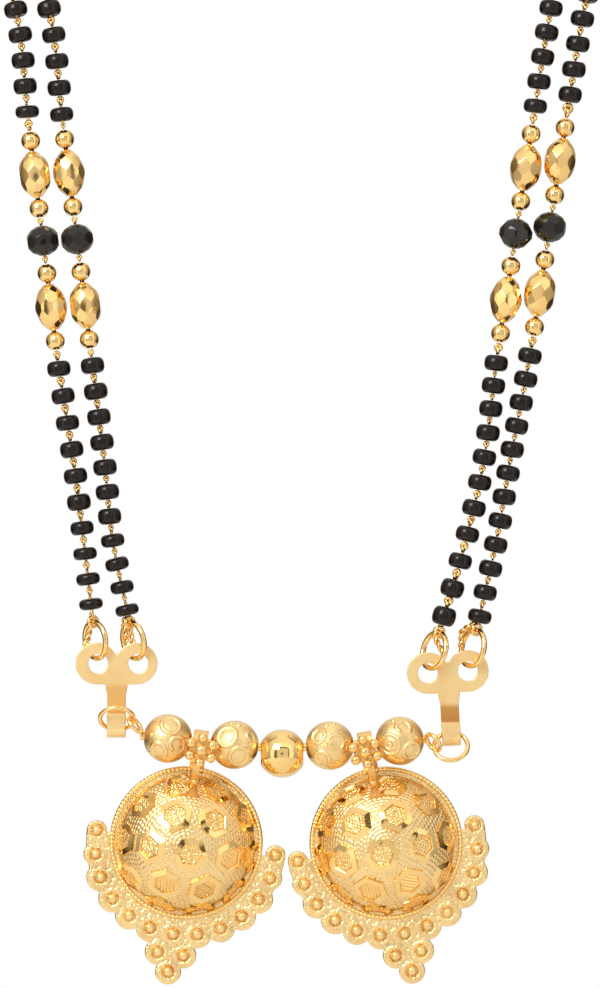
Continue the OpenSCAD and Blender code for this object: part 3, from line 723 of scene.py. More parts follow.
def ground_bead(half_width, half_length, leans, ends, soft, depth):
    """leans: of the second and third rows of facets, above and below the first, in degrees."""
    stone = bmesh.new()
    bmesh.ops.create_cube(stone, size=3 * max(half_width, half_length))
    wheels = [((0, 0, 1), ends), ((0, 0, -1), ends)]
    for lean, step in ((0, 0), (leans[0], 0.5), (-leans[0], 0.5), (leans[1], 0), (-leans[1], 0)):
        flat, rise = cos(radians(lean)), sin(radians(lean))
        reach = depth * hypot(half_width * flat, half_length * rise)
        angles = [2 * pi * (i + step) / FACETS for i in range(FACETS)]
        wheels += [((flat * cos(a), flat * sin(a), rise), reach) for a in angles]
    for facing, reach in wheels:
        parts = stone.verts[:] + stone.edges[:] + stone.faces[:]
        sliced = bmesh.ops.bisect_plane(stone, geom=parts, plane_co=Vector(facing) * reach, plane_no=facing,
                                        clear_outer=True)
        rim = [e for e in sliced["geom_cut"] if isinstance(e, bmesh.types.BMEdge)]
        if rim:
            bmesh.ops.edgenet_fill(stone, edges=rim)
    bmesh.ops.remove_doubles(stone, verts=stone.verts, dist=WELD)
    bmesh.ops.bevel(stone, geom=stone.edges[:], offset=soft, segments=2, profile=0.6, affect="EDGES")
    bmesh.ops.recalc_face_normals(stone, faces=stone.faces)
    return shape_of(stone)


oval_shape = ground_bead(half_width=1.95, half_length=2.95, leans=(20, 42), ends=2.82, soft=0.045, depth=0.95)
cut_shape = ground_bead(half_width=2.0, half_length=1.95, leans=(36, 63), ends=1.85, soft=0.04, depth=0.965)
for k, name in enumerate(STRANDS):
    centre, up = in_front(CUT_BEAD_AT[k]), cut_direction(k)
    for i, off in enumerate((OVAL_OFF, -OVAL_OFF)):
        piece = f"gold_oval_{name}_{i + 1}"
        lie = aim(centre + off * up, up) @ spin(17 * k + 31 * i, "Z")
        add_piece("cut_" + piece, moved(oval_shape, lie), bright_cut_gold, "necklace",
                  [piece], 25)
    lie = aim(centre, up) @ spin(90 + 11 * k, "Z")
    add_piece("cut_black_bead_" + name, moved(cut_shape, lie), cut_glass, "necklace",
              [f"black_bead_{name}_1"], 25)
print("oval:", triangles(oval_shape), "cut bead:", triangles(cut_shape), "triangles")

# %% [markdown]
# ## Plates, rings and wires
# The two plates are stamped from sheet and folded into a hook, and the clasp is a plain bar. Their
# solids have the right shape but knife-sharp edges, and real sheet has been tumbled. So each gets a copy
# of its solid with the edges rounded by a tenth of a millimetre, which is where the light catches.
# Rings, eyes, balls and the bar's wire are round already, so their solids stay and only get the gold.

# %% Round the edges of the stamped pieces
# How far the painted shade on the plates' stems fades in, above and below, in millimetres
STEM_SHADE_ABOVE, STEM_SHADE_BELOW = 0.9, 0.2
SHEET_GOLD = (1.0, 0.73, 0.35)


def stamped_gold_shaded_stem(side, top, bottom, share, stem_shade_colour):
    """Satin sheet with painted shade on the stem: a band of deeper gold where it was folded into the hook and
    lies in shade.
    """
    made = gold("stamped_gold_shaded_stem_" + side, SHEET_GOLD, DEEP_GOLD, hollow_shade=0.0, rough=(0.42, 0.42),
                grain=(0.5, 0.05, 0.3), bump_mm=0.02, patchiness=0.3)
    tree, shader = made.node_tree, made.node_tree.nodes["Principled BSDF"]
    height = node(tree, "ShaderNodeSeparateXYZ", {"Vector": position_in_mm(tree)}).outputs["Z"]
    # Painted shade: the stem between the two heights turns towards the shade colour
    stem_shade = times(tree, soft_step(tree, height, top, top - STEM_SHADE_ABOVE),
                 soft_step(tree, height, bottom - STEM_SHADE_BELOW, bottom + STEM_SHADE_BELOW))
    plain = shader.inputs["Base Color"].links[0].from_socket
    tree.links.new(tint(tree, times(tree, stem_shade, share), plain, stem_shade_colour), shader.inputs["Base Color"])
    return made


# Each stem's painted shade: its top and bottom height, how strong it is, and its colour
SHEETS = {"left": stamped_gold_shaded_stem("left", top=-185.2, bottom=-189.1, share=0.75, stem_shade_colour=(0.88, 0.48, 0.13)),
          "right": stamped_gold_shaded_stem("right", top=-187.7, bottom=-190.2, share=0.85, stem_shade_colour=(0.62, 0.27, 0.06))}


def flat_biased_normals(mesh):
    """One normal a corner point, led by the large faces, so that flat sheet mirrors like flat sheet."""
    total = np.zeros((len(mesh.vertices), 3))
    for face in mesh.polygons:
        total[list(face.vertices)] += np.array(face.normal) * face.area ** 2
    return unit(total)


def rounded_copy(solid, name, width, material):
    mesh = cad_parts[solid].data.copy()
    work = bmesh.new()
    work.from_mesh(mesh)
    bmesh.ops.remove_doubles(work, verts=work.verts, dist=WELD * MM)
    bmesh.ops.dissolve_limit(work, angle_limit=radians(1), verts=work.verts, edges=work.edges)
    sharp = [e for e in work.edges if len(e.link_faces) == 2 and e.calc_face_angle() > radians(40)]
    bmesh.ops.bevel(work, geom=sharp, offset=width * MM, segments=3, profile=0.5, affect="EDGES",
                    clamp_overlap=True)
    bmesh.ops.triangulate(work, faces=[f for f in work.faces if len(f.verts) > 4])
    work.to_mesh(mesh)
    work.free()
    mesh.materials.clear()
    mesh.materials.append(material)
    mesh.polygons.foreach_set("use_smooth", [True] * len(mesh.polygons))
    mesh.normals_split_custom_set_from_vertices(flat_biased_normals(mesh))
    piece = bpy.data.objects.new(name, mesh)
    bpy.context.scene.collection.objects.link(piece)
    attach(piece, "necklace")
    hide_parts(solid)
    print(name, len(mesh.polygons), "faces")


for side in ("left", "right"):
    rounded_copy("connector_" + side, "hook_plate_" + side, 0.09, SHEETS[side])
rounded_copy("clasp", "clasp_bar", 0.2, polished_gold)

KEPT_SOLIDS = ["bar_wire", "centre_ball", "link_ring_left", "link_ring_right"]
KEPT_SOLIDS += [f"{kind}_{name}" for name in STRANDS for kind in ("string_eye", "jump_ring")]
KEPT_SOLIDS += [f"gold_ball_{name}_{i}" for name in STRANDS for i in (1, 2, 3, 4)]
for solid in KEPT_SOLIDS:
    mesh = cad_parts[solid].data
    for i in range(len(mesh.materials)):
        mesh.materials[i] = polished_gold
print("solids that stay and get gold:", len(KEPT_SOLIDS))

# %% [markdown]
# ## Carved beads on the bar
# Four beads of thin gold sit on the bar, two on each side of a plain ball. Round cords are raised
# on them: closed rings, and hooks that curl inward, with small bosses between. Wires laid on a ball
# would look stuck on. Here the whole surface is one fine net, and a height is worked out for each of
# its points, so the cords grow out of the ball with soft feet, as in a pressed sheet.

# %% Lay out the cords of each bead
CARVED_AT = [(-15.4, -192.3), (-7.06, -193.1), (4.85, -193.2), (13.6, -192.6)]
CARVED_R, CARVED_HALF, BORE_R, BORE_DEPTH = 3.03, 2.95, 0.65, 0.5
CORD_HEIGHT, CORD_HALF, CORD_FLAT = 0.17, 0.25, 1.3
GROOVE_DEPTH, GROOVE_OFF, GROOVE_HALF = 0.6, 0.33, 0.13
# A curl: where it starts, how much it tightens, the share of a full turn it takes and how it fades
CURL_FROM, CURL_TIGHTER, CURL_SHARE, CURL_FADE = 0.9, 0.38, 0.86, 14
# Along the bar and up from the bead's middle, radius, and whether the cord is a hook that curls
CORDS = [
    [(-1.1, -1.5, 1.15, True), (1.3, -0.6, 1.2, True), (0.3, 1.85, 1.2, False)],
    [(-1.1, 1.08, 1.3, False), (0.75, -1.4, 1.25, False), (1.9, 1.3, 0.7, True)],
    [(0.72, 0.48, 1.15, True), (-1.2, -1.48, 1.1, True), (-1.4, 1.4, 0.95, False)],
    [(-1.4, -0.29, 1.3, False), (0.45, 1.83, 1.05, True), (1.4, -1.3, 1.1, False)]]
# One ring has an eye: the place of the ring, and radius, width and height of the eye and its dot
EYE_AT, EYE_R, EYE_WIDE, DOT_R, EYE_HEIGHT = (-1.4, -0.29), 0.62, CORD_HALF * 0.7, 0.2, 0.7
BOSSES = [(-0.2, 0.55), (0.3, 2.6), (-0.7, 2.65), (2.1, 0.35), (-2.2, 0.5), (0.1, -2.4), (2.0, -1.9),
          (-2.1, -0.4)]
BOSS_R, BOSS_HEIGHT = 0.26, 0.8
# Height from which a ridge wins over a groove, and how far the relief fades towards a bead's ends
RIDGE_WINS, END_FADE = 0.05, 0.25


def hump(away, half, at=0.0):
    """A round hump that is 1 high at one distance and ends half its width on either side of it."""
    return np.clip(1 - ((away - at) / half) ** 2, 0, 1)


def over_ball(points, spot):
    """Way over the ball's surface from a spot to each of some unit vectors."""
    return np.arccos(np.clip(points @ spot, -1, 1)) * CARVED_R


def on_ball(along_bar, up, back):
    """Direction from the bead's middle. The back of the bead repeats the front, turned half round the bar."""
    depth = sqrt(max(0.0, CARVED_R ** 2 - along_bar ** 2 - up ** 2))
    return np.array((along_bar, depth if back else -depth, -up if back else up)) / CARVED_R


def cord_profile(off):
    """Across a cord: flat on top, with a thin chased groove along each side."""
    ridge = np.clip(CORD_FLAT * (1 - (off / CORD_HALF) ** 2), 0, 1)
    return ridge - GROOVE_DEPTH * hump(np.abs(off), GROOVE_HALF, GROOVE_OFF)


def stronger(one, other):
    """Of two heights at each point, the one that is further from zero, but a ridge always wins."""
    highest = np.maximum(one, other)
    return np.where(highest > RIDGE_WINS, highest, np.minimum(one, other))


def cord_height(points, middle, radius, hooked, eye):
    """Height of one cord at unit vectors: a ridge along a circle, or along a curl that tightens."""
    away = over_ball(points, middle)
    if hooked:
        right = unit(np.cross((0, 0, 1.0), middle))
        up = np.cross(middle, right)
        turn = (np.arctan2(points @ up, points @ right) + CURL_FROM) % (2 * pi) / (2 * pi)
        curl = cord_profile(away - radius * (1 - CURL_TIGHTER * turn))
        return curl * np.clip((CURL_SHARE - turn) * CURL_FADE, 0, 1)
    height = cord_profile(away - radius)
    if eye:
        height = np.maximum(height, EYE_HEIGHT * hump(away, EYE_WIDE, EYE_R))
        height = np.maximum(height, EYE_HEIGHT * hump(away, DOT_R))
    return height


# %% Raise the cords and make the beads
ROUND_STEPS, LENGTH_STEPS = 240, 104
edge_lean = acos(CARVED_HALF / CARVED_R)
lean = edge_lean + (pi - 2 * edge_lean) * np.arange(LENGTH_STEPS + 1) / LENGTH_STEPS
profile = [(BORE_R, BORE_DEPTH - CARVED_HALF), (BORE_R, -CARVED_HALF)]
profile += [(CARVED_R * sin(a), -CARVED_R * cos(a)) for a in lean]
profile += [(BORE_R, CARVED_HALF), (BORE_R, CARVED_HALF - BORE_DEPTH)]
skin = slice(2 * ROUND_STEPS, (LENGTH_STEPS + 3) * ROUND_STEPS)
for i, (at_x, at_z) in enumerate(CARVED_AT):
    points, faces = turned(profile, ROUND_STEPS, closed=True)
    points = points @ np.array(spin(90, "Y").to_3x3()).T
    facing = unit(points[skin])
    height = np.zeros(len(facing))
    for (*at, radius, hooked), back in [(cord, back) for cord in CORDS[i] for back in (False, True)]:
        cord = cord_height(facing, on_ball(*at, back), radius, hooked, tuple(at) == EYE_AT)
        height = stronger(height, cord)
    for (along_bar, up), back in [(boss, back) for boss in BOSSES for back in (False, True)]:
        spot = on_ball(along_bar * (1 if i % 2 else -1), up, back)
        height = np.maximum(height, BOSS_HEIGHT * np.sqrt(hump(over_ball(facing, spot), BOSS_R)))
    fade = np.clip((CARVED_HALF - np.abs(points[skin][:, 0])) / END_FADE, 0, 1)
    points[skin] += facing * (height * fade * CORD_HEIGHT)[:, None]
    near, far = CARVED_AT[i // 2 * 2], CARVED_AT[i // 2 * 2 + 1]
    slope = atan2(far[1] - near[1], far[0] - near[0])
    bead = moved((points, faces), shift(at_x, FRONT_Y, at_z) @ Matrix.Rotation(-slope, 4, "Y"))
    add_piece(f"pressed_bead_{i + 1}", bead, chased_gold, "necklace", [f"carved_bead_{i + 1}"])
    print(f"carved bead {i + 1}: {triangles(bead)} triangles, cords {height.max() * CORD_HEIGHT:.2f} mm high")

# %% [markdown]
# ## The two pendants
# Each pendant is a hollow dome of sheet gold on a cast plate with a fringe of balls. It hangs on the
# bar by a short tube behind a small flower of six balls. Goldsmiths make the dome by doming a disc,
# solder seventeen six-sided frames on it, and fill each frame and the ground between with grains.
# Every part here is made in the pendant's own space: the tube's middle is the origin, X runs along
# the bore, the front looks along -Y, and the dome's middle hangs 12.86 mm below.

# %% Sizes of the pendant
HANG = 12.86
PLATE_Y, PLATE_T = 1.9, 0.8
PLATE_FRONT = PLATE_Y - PLATE_T / 2
DOME_R, DOME_Y, DOME_WALL = 9.163, 4.663, 0.8
FOOT = acos((DOME_Y - 1.5) / DOME_R)
FRAME_R, OUTER_SIZE = 2.25, 0.9
# Lean from the dome's middle, turn round it, corner radius
FRAMES = [(0, 270, FRAME_R)] + [(33, a, FRAME_R) for a in range(0, 360, 60)]
FRAMES += [(60, a, FRAME_R * OUTER_SIZE) for a in range(0, 360, 36)]
LOW_LEAN, SIDE_LEAN = 6.5, {"left": 5, "right": -5}
PENDANTS = {"left": shift(-11.35, FRONT_Y, -192.6885) @ spin(8, "Y"),
            "right": shift(9.35, FRONT_Y, -192.8914) @ spin(-11.5, "Y")}


def on_dome(lean, turn, side):
    """Turns a piece that stands up along Z so that it stands out of the dome at a frame's place."""
    pattern = spin(SIDE_LEAN[side], "Z") @ spin(LOW_LEAN, "X") @ spin(90, "X")
    return shift(0, DOME_Y, -HANG) @ pattern @ spin(turn, "Z") @ spin(lean, "Y") @ spin(30, "Z")


def add_pendant_piece(part, shape, material, smooth_angle=None):
    """Hangs one shape on both pendants, or each side's own shape on its own pendant."""
    for side, place in PENDANTS.items():
        own = shape[side] if isinstance(shape, dict) else shape
        add_piece(f"{part}_{side}", moved(own, place), material, "pendant_" + side,
                  ["pendant_" + side], smooth_angle)
        print(f"{part}_{side}:", triangles(own), "triangles")


def fan(rings, point_at):
    """A disc of evenly spaced points, ring i with 6 i points. point_at(ring, angle) gives each point."""
    points, faces, outer = [point_at(0, 0.0)], [], [0]
    for i in range(1, rings + 1):
        inner, outer = outer, [len(points) + j for j in range(6 * i)]
        points += [point_at(i, pi * j / (3 * i)) for j in range(6 * i)]
        for part in range(6):
            for j in range(i):
                here, after = part * i + j, (part * i + j + 1) % len(outer)
                below = part * (i - 1) + j
                faces.append((inner[below % len(inner)], outer[here], outer[after]))
                if j < i - 1:
                    faces.append((inner[below], outer[after], inner[(below + 1) % len(inner)]))
    return np.array(points, float), faces


# %% [markdown]
# ### Dome
# Between the frames the dome is covered with rows of grains on circles round the middle, over a lower
# ground that the cast gold darkens with painted shade in its hollows. A band under the last row stays
# smooth and mirrors the rim. The grains are real relief: each point of a fine net is lifted by the
# height of the nearest grain. Inside, the dome is a plain bowl.

# %% Grain the dome
DOME_RINGS = 96
ROW_PITCH, GRAIN_LONG, GRAIN_UP, GROUND_UP = 0.46, 0.62, 0.18, -0.05
SMOOTH_FROM, SMOOTH_UP = FOOT - 0.12, -0.04
SEAT_SHARE, SEAT_UP = 0.86, -0.12
BOWL_RINGS = 14


def grain_lift(lean, turn):
    """Height of the grained ground: rows of short bars on circles round the middle."""
    row = round(lean * DOME_R / ROW_PITCH)
    around = max(1, round(2 * pi * sin(max(row * ROW_PITCH / DOME_R, 0.02)) * DOME_R / GRAIN_LONG))
    across = (lean * DOME_R / ROW_PITCH - row) * 2
    lengthwise = ((turn * around / (2 * pi) + 0.5 * (row % 2)) % 1.0 - 0.5) * 2
    return GRAIN_UP * sqrt(max(0.0, 1 - across ** 2)) * sqrt(sqrt(max(0.0, 1 - lengthwise ** 2))) + GROUND_UP


def dome_shape(side):
    # Direction and corner radius of each frame, seen from the middle of the dome's ball
    seats = [(np.array((on_dome(lean, turn, side).to_3x3() @ Vector((0, 0, 1)))[:]), size)
             for lean, turn, size in FRAMES]

    def dome_point(ring, turn):
        lean = FOOT * ring / DOME_RINGS
        facing = np.array((sin(lean) * cos(turn), -cos(lean), sin(lean) * sin(turn)))
        lift = grain_lift(lean, turn) if lean < SMOOTH_FROM else SMOOTH_UP
        for axis, size in seats:
            if acos(min(1.0, float(facing @ axis))) * DOME_R < size * SEAT_SHARE:
                lift = SEAT_UP
        return facing * (DOME_R + lift) + (0, DOME_Y, -HANG)

    bowl_r = DOME_R - DOME_WALL
    bowl_lean = acos((DOME_Y - PLATE_Y - PLATE_T / 2) / bowl_r)
    leans = [bowl_lean * (BOWL_RINGS - i) / BOWL_RINGS for i in range(BOWL_RINGS + 1)]
    bowl = turned([(bowl_r * sin(lean), bowl_r * cos(lean)) for lean in leans], 96)
    return joined([fan(DOME_RINGS, dome_point), moved(bowl, shift(0, DOME_Y, -HANG) @ spin(90, "X"))])


add_pendant_piece("grained_dome", {side: dome_shape(side) for side in PENDANTS}, cast_gold)

# %% [markdown]
# ### Six-sided frames
# A frame is a ring of six flats, cut bright by hand with a hard tool, round a floor of grains. Two of
# the frames have ribs instead of grains. Because each flat was one stroke of the tool, no two slope
# alike: one mirrors the window, the next one a wall and a few the dark camera. So the six outer
# corners of each frame get their own heights, and the flats between them tilt as they come.

# %% Cut the frames
FRAME_WIDE, FRAME_UP, FRAME_TILT = 0.82, 0.3, 2
FLOOR_RINGS, FLOOR_UP = 16, 0.03
RIB_UP, RIB_PITCH = 0.12, 0.42
FLOOR_GRAIN_UP, FLOOR_GRAIN_R = 0.09, 0.2
FLOOR_GRAIN_PITCH, FLOOR_GRAIN_ROW, FLOOR_GRAIN_STRAY = 0.4, 0.35, 0.04
RIBBED = ((33, 240), (33, 300))
# Frames whose flat towards the dome's middle was cut steeply. It faces the camera and mirrors it
STEEP = {"left": ((33, 180), (33, 240), (60, 216)), "right": ((33, 0), (33, 120), (60, 324))}
SLOPE_LEAST, SLOPE_MORE, STEEP_SLOPE = 0.05, 0.24, 0.43


def staggered(pitch, row, columns, rows):
    """Points in rows, every other row moved by half a pitch."""
    return np.array([(pitch * i + pitch / 2 * (j % 2), row * j) for i in range(-columns, columns + 1)
                     for j in rows])


def nearest(points, marks):
    """Distance from each point to the nearest of some marks."""
    return np.array([np.min(np.hypot(marks[:, 0] - x, marks[:, 1] - z)) for x, z in points])


def frame_shape(size, ribbed, shuffle, slopes):
    """slopes: how far each of the six outer corners lies below the ring's inner edge."""
    inner = size - FRAME_WIDE
    floor_r = inner - 0.03
    # Corner radius, height, and whether each corner of the row gets its own height instead
    corner_rows = [(size + 0.1, -0.55, False), (size + 0.02, 0, True), (inner + 0.12, FRAME_UP, False),
                   (inner, FRAME_UP - 0.08, False), (floor_r, FLOOR_UP, False)]
    corners = [(x, y, FRAME_UP - slopes[j] if cut else up)
               for r, up, cut in corner_rows for j, (x, y, _) in enumerate(circle(r, 6))]
    grains = staggered(FLOOR_GRAIN_PITCH, FLOOR_GRAIN_ROW, 4, range(-5, 6))
    grains = grains + FLOOR_GRAIN_STRAY * shuffle.standard_normal(grains.shape)

    def floor_point(ring, turn):
        reach = floor_r * cos(pi / 6) / cos(turn % (pi / 3) - pi / 6) * ring / FLOOR_RINGS
        x, y = reach * cos(turn), reach * sin(turn)
        if ribbed:
            lift = RIB_UP * (0.5 + 0.5 * cos(2 * pi * y / RIB_PITCH))
        else:
            lift = FLOOR_GRAIN_UP * sqrt(hump(nearest([(x, y)], grains)[0], FLOOR_GRAIN_R))
        return x, y, FLOOR_UP + lift * (ring < FLOOR_RINGS)

    ring = np.array(corners), skinned(numbered(len(corner_rows), 6))
    return joined([ring, fan(FLOOR_RINGS, floor_point)])


framed = {}
for side, seed in (("left", 5), ("right", 11)):
    shuffle = np.random.default_rng(seed)
    frames = []
    for lean, turn, size in FRAMES:
        slopes = SLOPE_LEAST + SLOPE_MORE * shuffle.random(6)
        if (lean, turn) in STEEP[side]:
            slopes[[2, 3]] = STEEP_SLOPE
        tilt = tipped(shuffle, FRAME_TILT)
        one = frame_shape(size, (lean, turn) in RIBBED, shuffle, slopes)
        frames.append(moved(one, on_dome(lean, turn, side) @ shift(0, 0, DOME_R) @ tilt))
    framed[side] = joined(frames)
add_pendant_piece("six_sided_frames", framed, bright_cut_gold, 24)

# %% [markdown]
# ### Rim
# A thin beaded wire runs round the dome's foot and hides the seam between dome and plate. Such wire
# is rolled under a grooved knife until it looks like a row of touching grains. Here it is a closed
# wire whose thickness swells and narrows a hundred and twelve times on its way round.

# %% Bead the rim
RIM_R, RIM_GRAINS, RIM_STEPS, RIM_WIRE_R, NARROW = 9.3, 112, 7, 0.29, 0.66
rim_path = [(x, PLATE_FRONT - 0.08, z - HANG) for x, z, _ in circle(RIM_R, RIM_GRAINS * RIM_STEPS)]
swell = [RIM_WIRE_R * (NARROW + (1 - NARROW) * sqrt(abs(sin(pi * i / RIM_STEPS))))
         for i in range(len(rim_path))]
add_pendant_piece("beaded_rim", wire(rim_path, swell, 8, closed=True), polished_gold)

# %% [markdown]
# ### Fringe
# The plate under the dome is cast with its scalloped edge. Its outline is the sum of simple shapes: a
# disc under the rim, a larger half disc below, a point, and a small circle at each ball. A flat net is
# laid through that outline, then every point of the net gets a height: round at the edge, a groove
# and a low collar round each ball, and a stippled ground between them.

# %% Find the plate's outline
KNOB_RING, LOBE_R, TIP_DOWN, POINT_FROM = 11.55, 1.8, 16.3, 11.05
RING_BEND, END_IN, END_LESS = 60, 0.25, 0.55
OVER_TIP, TIP_LESS, LOBE_FILL = (1.62, 14.05), 0.17, 0.55
PLATE_INNER, PLATE_UNDER_RIM = 8.3, 9.6


def knob_on_ring(angle):
    part = max(0, abs(angle) - RING_BEND) / (90 - RING_BEND)
    reach = KNOB_RING - END_IN * part
    return reach * sin(radians(angle)), -reach * cos(radians(angle)), LOBE_R - END_LESS * part


# Across, up and radius of each lobe. Its knob stands in its middle
LOBES = [knob_on_ring(angle) for angle in range(-90, 91, 15)]
LOBES += [(x, z, LOBE_R - TIP_LESS) for x, z in ((OVER_TIP[0], -OVER_TIP[1]), (-OVER_TIP[0], -OVER_TIP[1]),
                                                 (0, -TIP_DOWN))]


def round_patch(x, z, radius, steps, first=0.0, last=2 * pi):
    angles = [first + (last - first) * i / steps for i in range(steps)]
    return [(x + radius * cos(a), z + radius * sin(a)) for a in angles]


def in_patch(patch, x, z):
    """Whether each of the points (x, z) lies inside a closed outline, by counting crossings to its right."""
    inside = np.zeros(len(x), bool)
    for (x0, z0), (x1, z1) in zip(patch, patch[1:] + patch[:1]):
        if z0 != z1:
            inside ^= ((z0 > z) != (z1 > z)) & (x < x0 + (z - z0) * (x1 - x0) / (z1 - z0))
    return inside


def flat_net(patches, loose=()):
    """Triangles that fill the patches together, with loose points used where they fall inside."""
    points, faces = [], []
    for patch in patches:
        faces.append(list(range(len(points), len(points) + len(patch))))
        points += patch
    laid = delaunay_2d_cdt([Vector(p) for p in [*points, *loose]], [], faces, 1, 1e-5, False)
    spread = np.array([p[:] for p in laid[0]])
    net = np.array([f for f in laid[2] if len(f) == 3])
    middle = spread[net].mean(axis=1)
    kept = np.any([in_patch(patch, middle[:, 0], middle[:, 1]) for patch in patches], axis=0)
    return spread, [tuple(int(i) for i in f) for f in net[kept]]


def outline_loops(faces):
    """The loops of edges that only one triangle uses, in order, the longest first."""
    edges = {(a, b) for face in faces for a, b in zip(face, face[1:] + face[:1])}
    onward = {a: b for a, b in edges if (b, a) not in edges}
    loops = []
    while onward:
        first, here = onward.popitem()
        loop = [first]
        while here != first:
            loop.append(here)
            here = onward.pop(here)
        loops.append(loop)
    return sorted(loops, key=len)[::-1]


patches = [round_patch(0, 0, PLATE_UNDER_RIM, 180),
           round_patch(0, 0, KNOB_RING + LOBE_FILL * LOBE_R, 130, pi, 2 * pi),
           [(0, -TIP_DOWN - LOBE_R / 2), (2 * LOBE_R, -POINT_FROM), (-2 * LOBE_R, -POINT_FROM)]]
patches += [round_patch(x, z, radius, 48) for x, z, radius in LOBES]
rough_points, rough_faces = flat_net(patches)
rough_edge = rough_points[outline_loops(rough_faces)[0]]
print("outline of the plate:", len(rough_edge), "points")

# %% Lay the net for the plate
EDGE_STEP, NET_PITCH, NET_ROW = 0.16, 0.24, 0.208
# Rows of points that follow the edge, the share of that distance they keep, and where the even net starts
INSETS, KEEP_OFF, NET_FROM = (0.06, 0.15, 0.28), 0.93, 0.36
round_trip = np.concatenate([rough_edge, rough_edge[:1]])
way = measured(round_trip)[-1]
edge = places(round_trip, np.linspace(0, way, int(way / EDGE_STEP), endpoint=False))
ahead = np.roll(edge, -1, 0) - np.roll(edge, 1, 0)
inward = unit(np.stack([-ahead[:, 1], ahead[:, 0]], axis=1))
if np.sum(edge[:, 0] * np.roll(edge[:, 1], -1) - edge[:, 1] * np.roll(edge[:, 0], -1)) < 0:
    inward = -inward
loose = []
for inset in INSETS:
    ring = edge + inward * inset
    loose += list(map(tuple, ring[nearest(ring, edge) > inset * KEEP_OFF]))
grid = staggered(NET_PITCH, NET_ROW, 56, range(-88, 50))
grid = grid[np.hypot(grid[:, 0], grid[:, 1]) > PLATE_INNER + 0.1]
loose += list(map(tuple, grid[nearest(grid, edge) > NET_FROM])) + round_patch(0, 0, PLATE_INNER, 190)
net_points, net_faces = flat_net([list(map(tuple, edge))], loose)
net_faces = [f for f in net_faces if hypot(*net_points[list(f)].mean(axis=0)) > PLATE_INNER - 0.02]
used = sorted({i for face in net_faces for i in face})
renumber = {old: new for new, old in enumerate(used)}
net_points, net_faces = net_points[used], [tuple(renumber[i] for i in face) for face in net_faces]
print("net of the plate:", len(net_faces), "triangles")

# %% Raise the plate's relief and set the balls of the fringe
FRONT_ROUND, BACK_ROUND = 0.26, 0.12
COLLAR_UP, COLLAR_AT, COLLAR_HALF = 0.08, 1.0, 0.22
GROOVE_DOWN, GROOVE_AT, GROOVE_WIDE = 0.28, 0.62, 0.23
STIPPLE_UP, STIPPLE_DOWN, STIPPLE_R = 0.13, 0.08, 0.29
STIPPLE_PITCH, STIPPLE_ROW, STIPPLE_STRAY, STIPPLE_FROM = 0.62, 0.54, 0.12, 9.4
# The stipple keeps off the balls and off the edge, and fades in over a tenth
OFF_KNOB, OFF_EDGE, FADE_IN = 1.15, 0.3, 0.1
# The balls below the ring are pressed a little flatter
KNOB_SEEN, KNOB_FLAT, LOW_KNOB, LOW_KNOB_FLAT = 0.54, 0.95, -8, 0.82
edge_away = nearest(net_points, edge)
knob_away = nearest(net_points, np.array(LOBES))


def rounded_edge(radius):
    away = np.minimum(edge_away, radius)
    return -radius + np.sqrt(radius ** 2 - (radius - away) ** 2)


def stipple():
    """Low round grains between the balls, and not at the very edge."""
    seeds = staggered(STIPPLE_PITCH, STIPPLE_ROW, 22, range(-34, 20))
    seeds = seeds + STIPPLE_STRAY * np.random.default_rng(3).standard_normal(seeds.shape)
    seeds = seeds[np.hypot(seeds[:, 0], seeds[:, 1]) > STIPPLE_FROM]
    ground = np.clip((knob_away - OFF_KNOB) / FADE_IN, 0, 1) * np.clip((edge_away - OFF_EDGE) / FADE_IN, 0, 1)
    return ground * (STIPPLE_UP * np.sqrt(hump(nearest(net_points, seeds), STIPPLE_R)) - STIPPLE_DOWN)


lift = rounded_edge(FRONT_ROUND) + COLLAR_UP * hump(knob_away, COLLAR_HALF, COLLAR_AT)
lift = lift - GROOVE_DOWN * hump(knob_away, GROOVE_WIDE, GROOVE_AT) + stipple()
front, back = (np.stack([net_points[:, 0], depth, net_points[:, 1] - HANG], axis=1)
               for depth in (PLATE_FRONT - lift, PLATE_Y + PLATE_T / 2 + rounded_edge(BACK_ROUND)))
total = len(net_points)
plate_faces = net_faces + [tuple(i + total for i in face[::-1]) for face in net_faces]
for loop in outline_loops(net_faces)[:2]:
    plate_faces += [(b, a, a + total, b + total) for a, b in zip(loop, loop[1:] + loop[:1])]
# Painted shade: the stipple's hollows and the grooves round the balls darken towards the brown gold
stippled_gold = gold("stippled_gold", PALE_GOLD, BROWN_GOLD, hollow_shade=1.0, rough=(0.32, 0.22),
                     grain=(0.36, 1.0, 0.2), bump_mm=0.08)
add_pendant_piece("scalloped_plate", (np.concatenate([front, back]), plate_faces), stippled_gold)

knobs = []
for x, z, _ in LOBES:
    knob = ball(KNOB_SEEN, 12, 20)
    knob[0][:, 2] = np.minimum(knob[0][:, 2], KNOB_SEEN * (LOW_KNOB_FLAT if z < LOW_KNOB else KNOB_FLAT))
    knobs.append(moved(knob, shift(x, PLATE_FRONT - 0.1, z - HANG) @ spin(90, "X")))
add_pendant_piece("fringe_balls", joined(knobs), satin_gold)

# %% [markdown]
# ### Flower and hanger
# Six balls and a larger one form the flower that hides the hanging tube. A short post joins it to the
# tube, and a strap bends from it down to the dome, where it ends in a small ball on a three-sided foot.
# These were soldered last and never polished again, so all but the flower is matt. Their gold is also a
# darker copy, painted shade, since they lie in shade behind the flower.

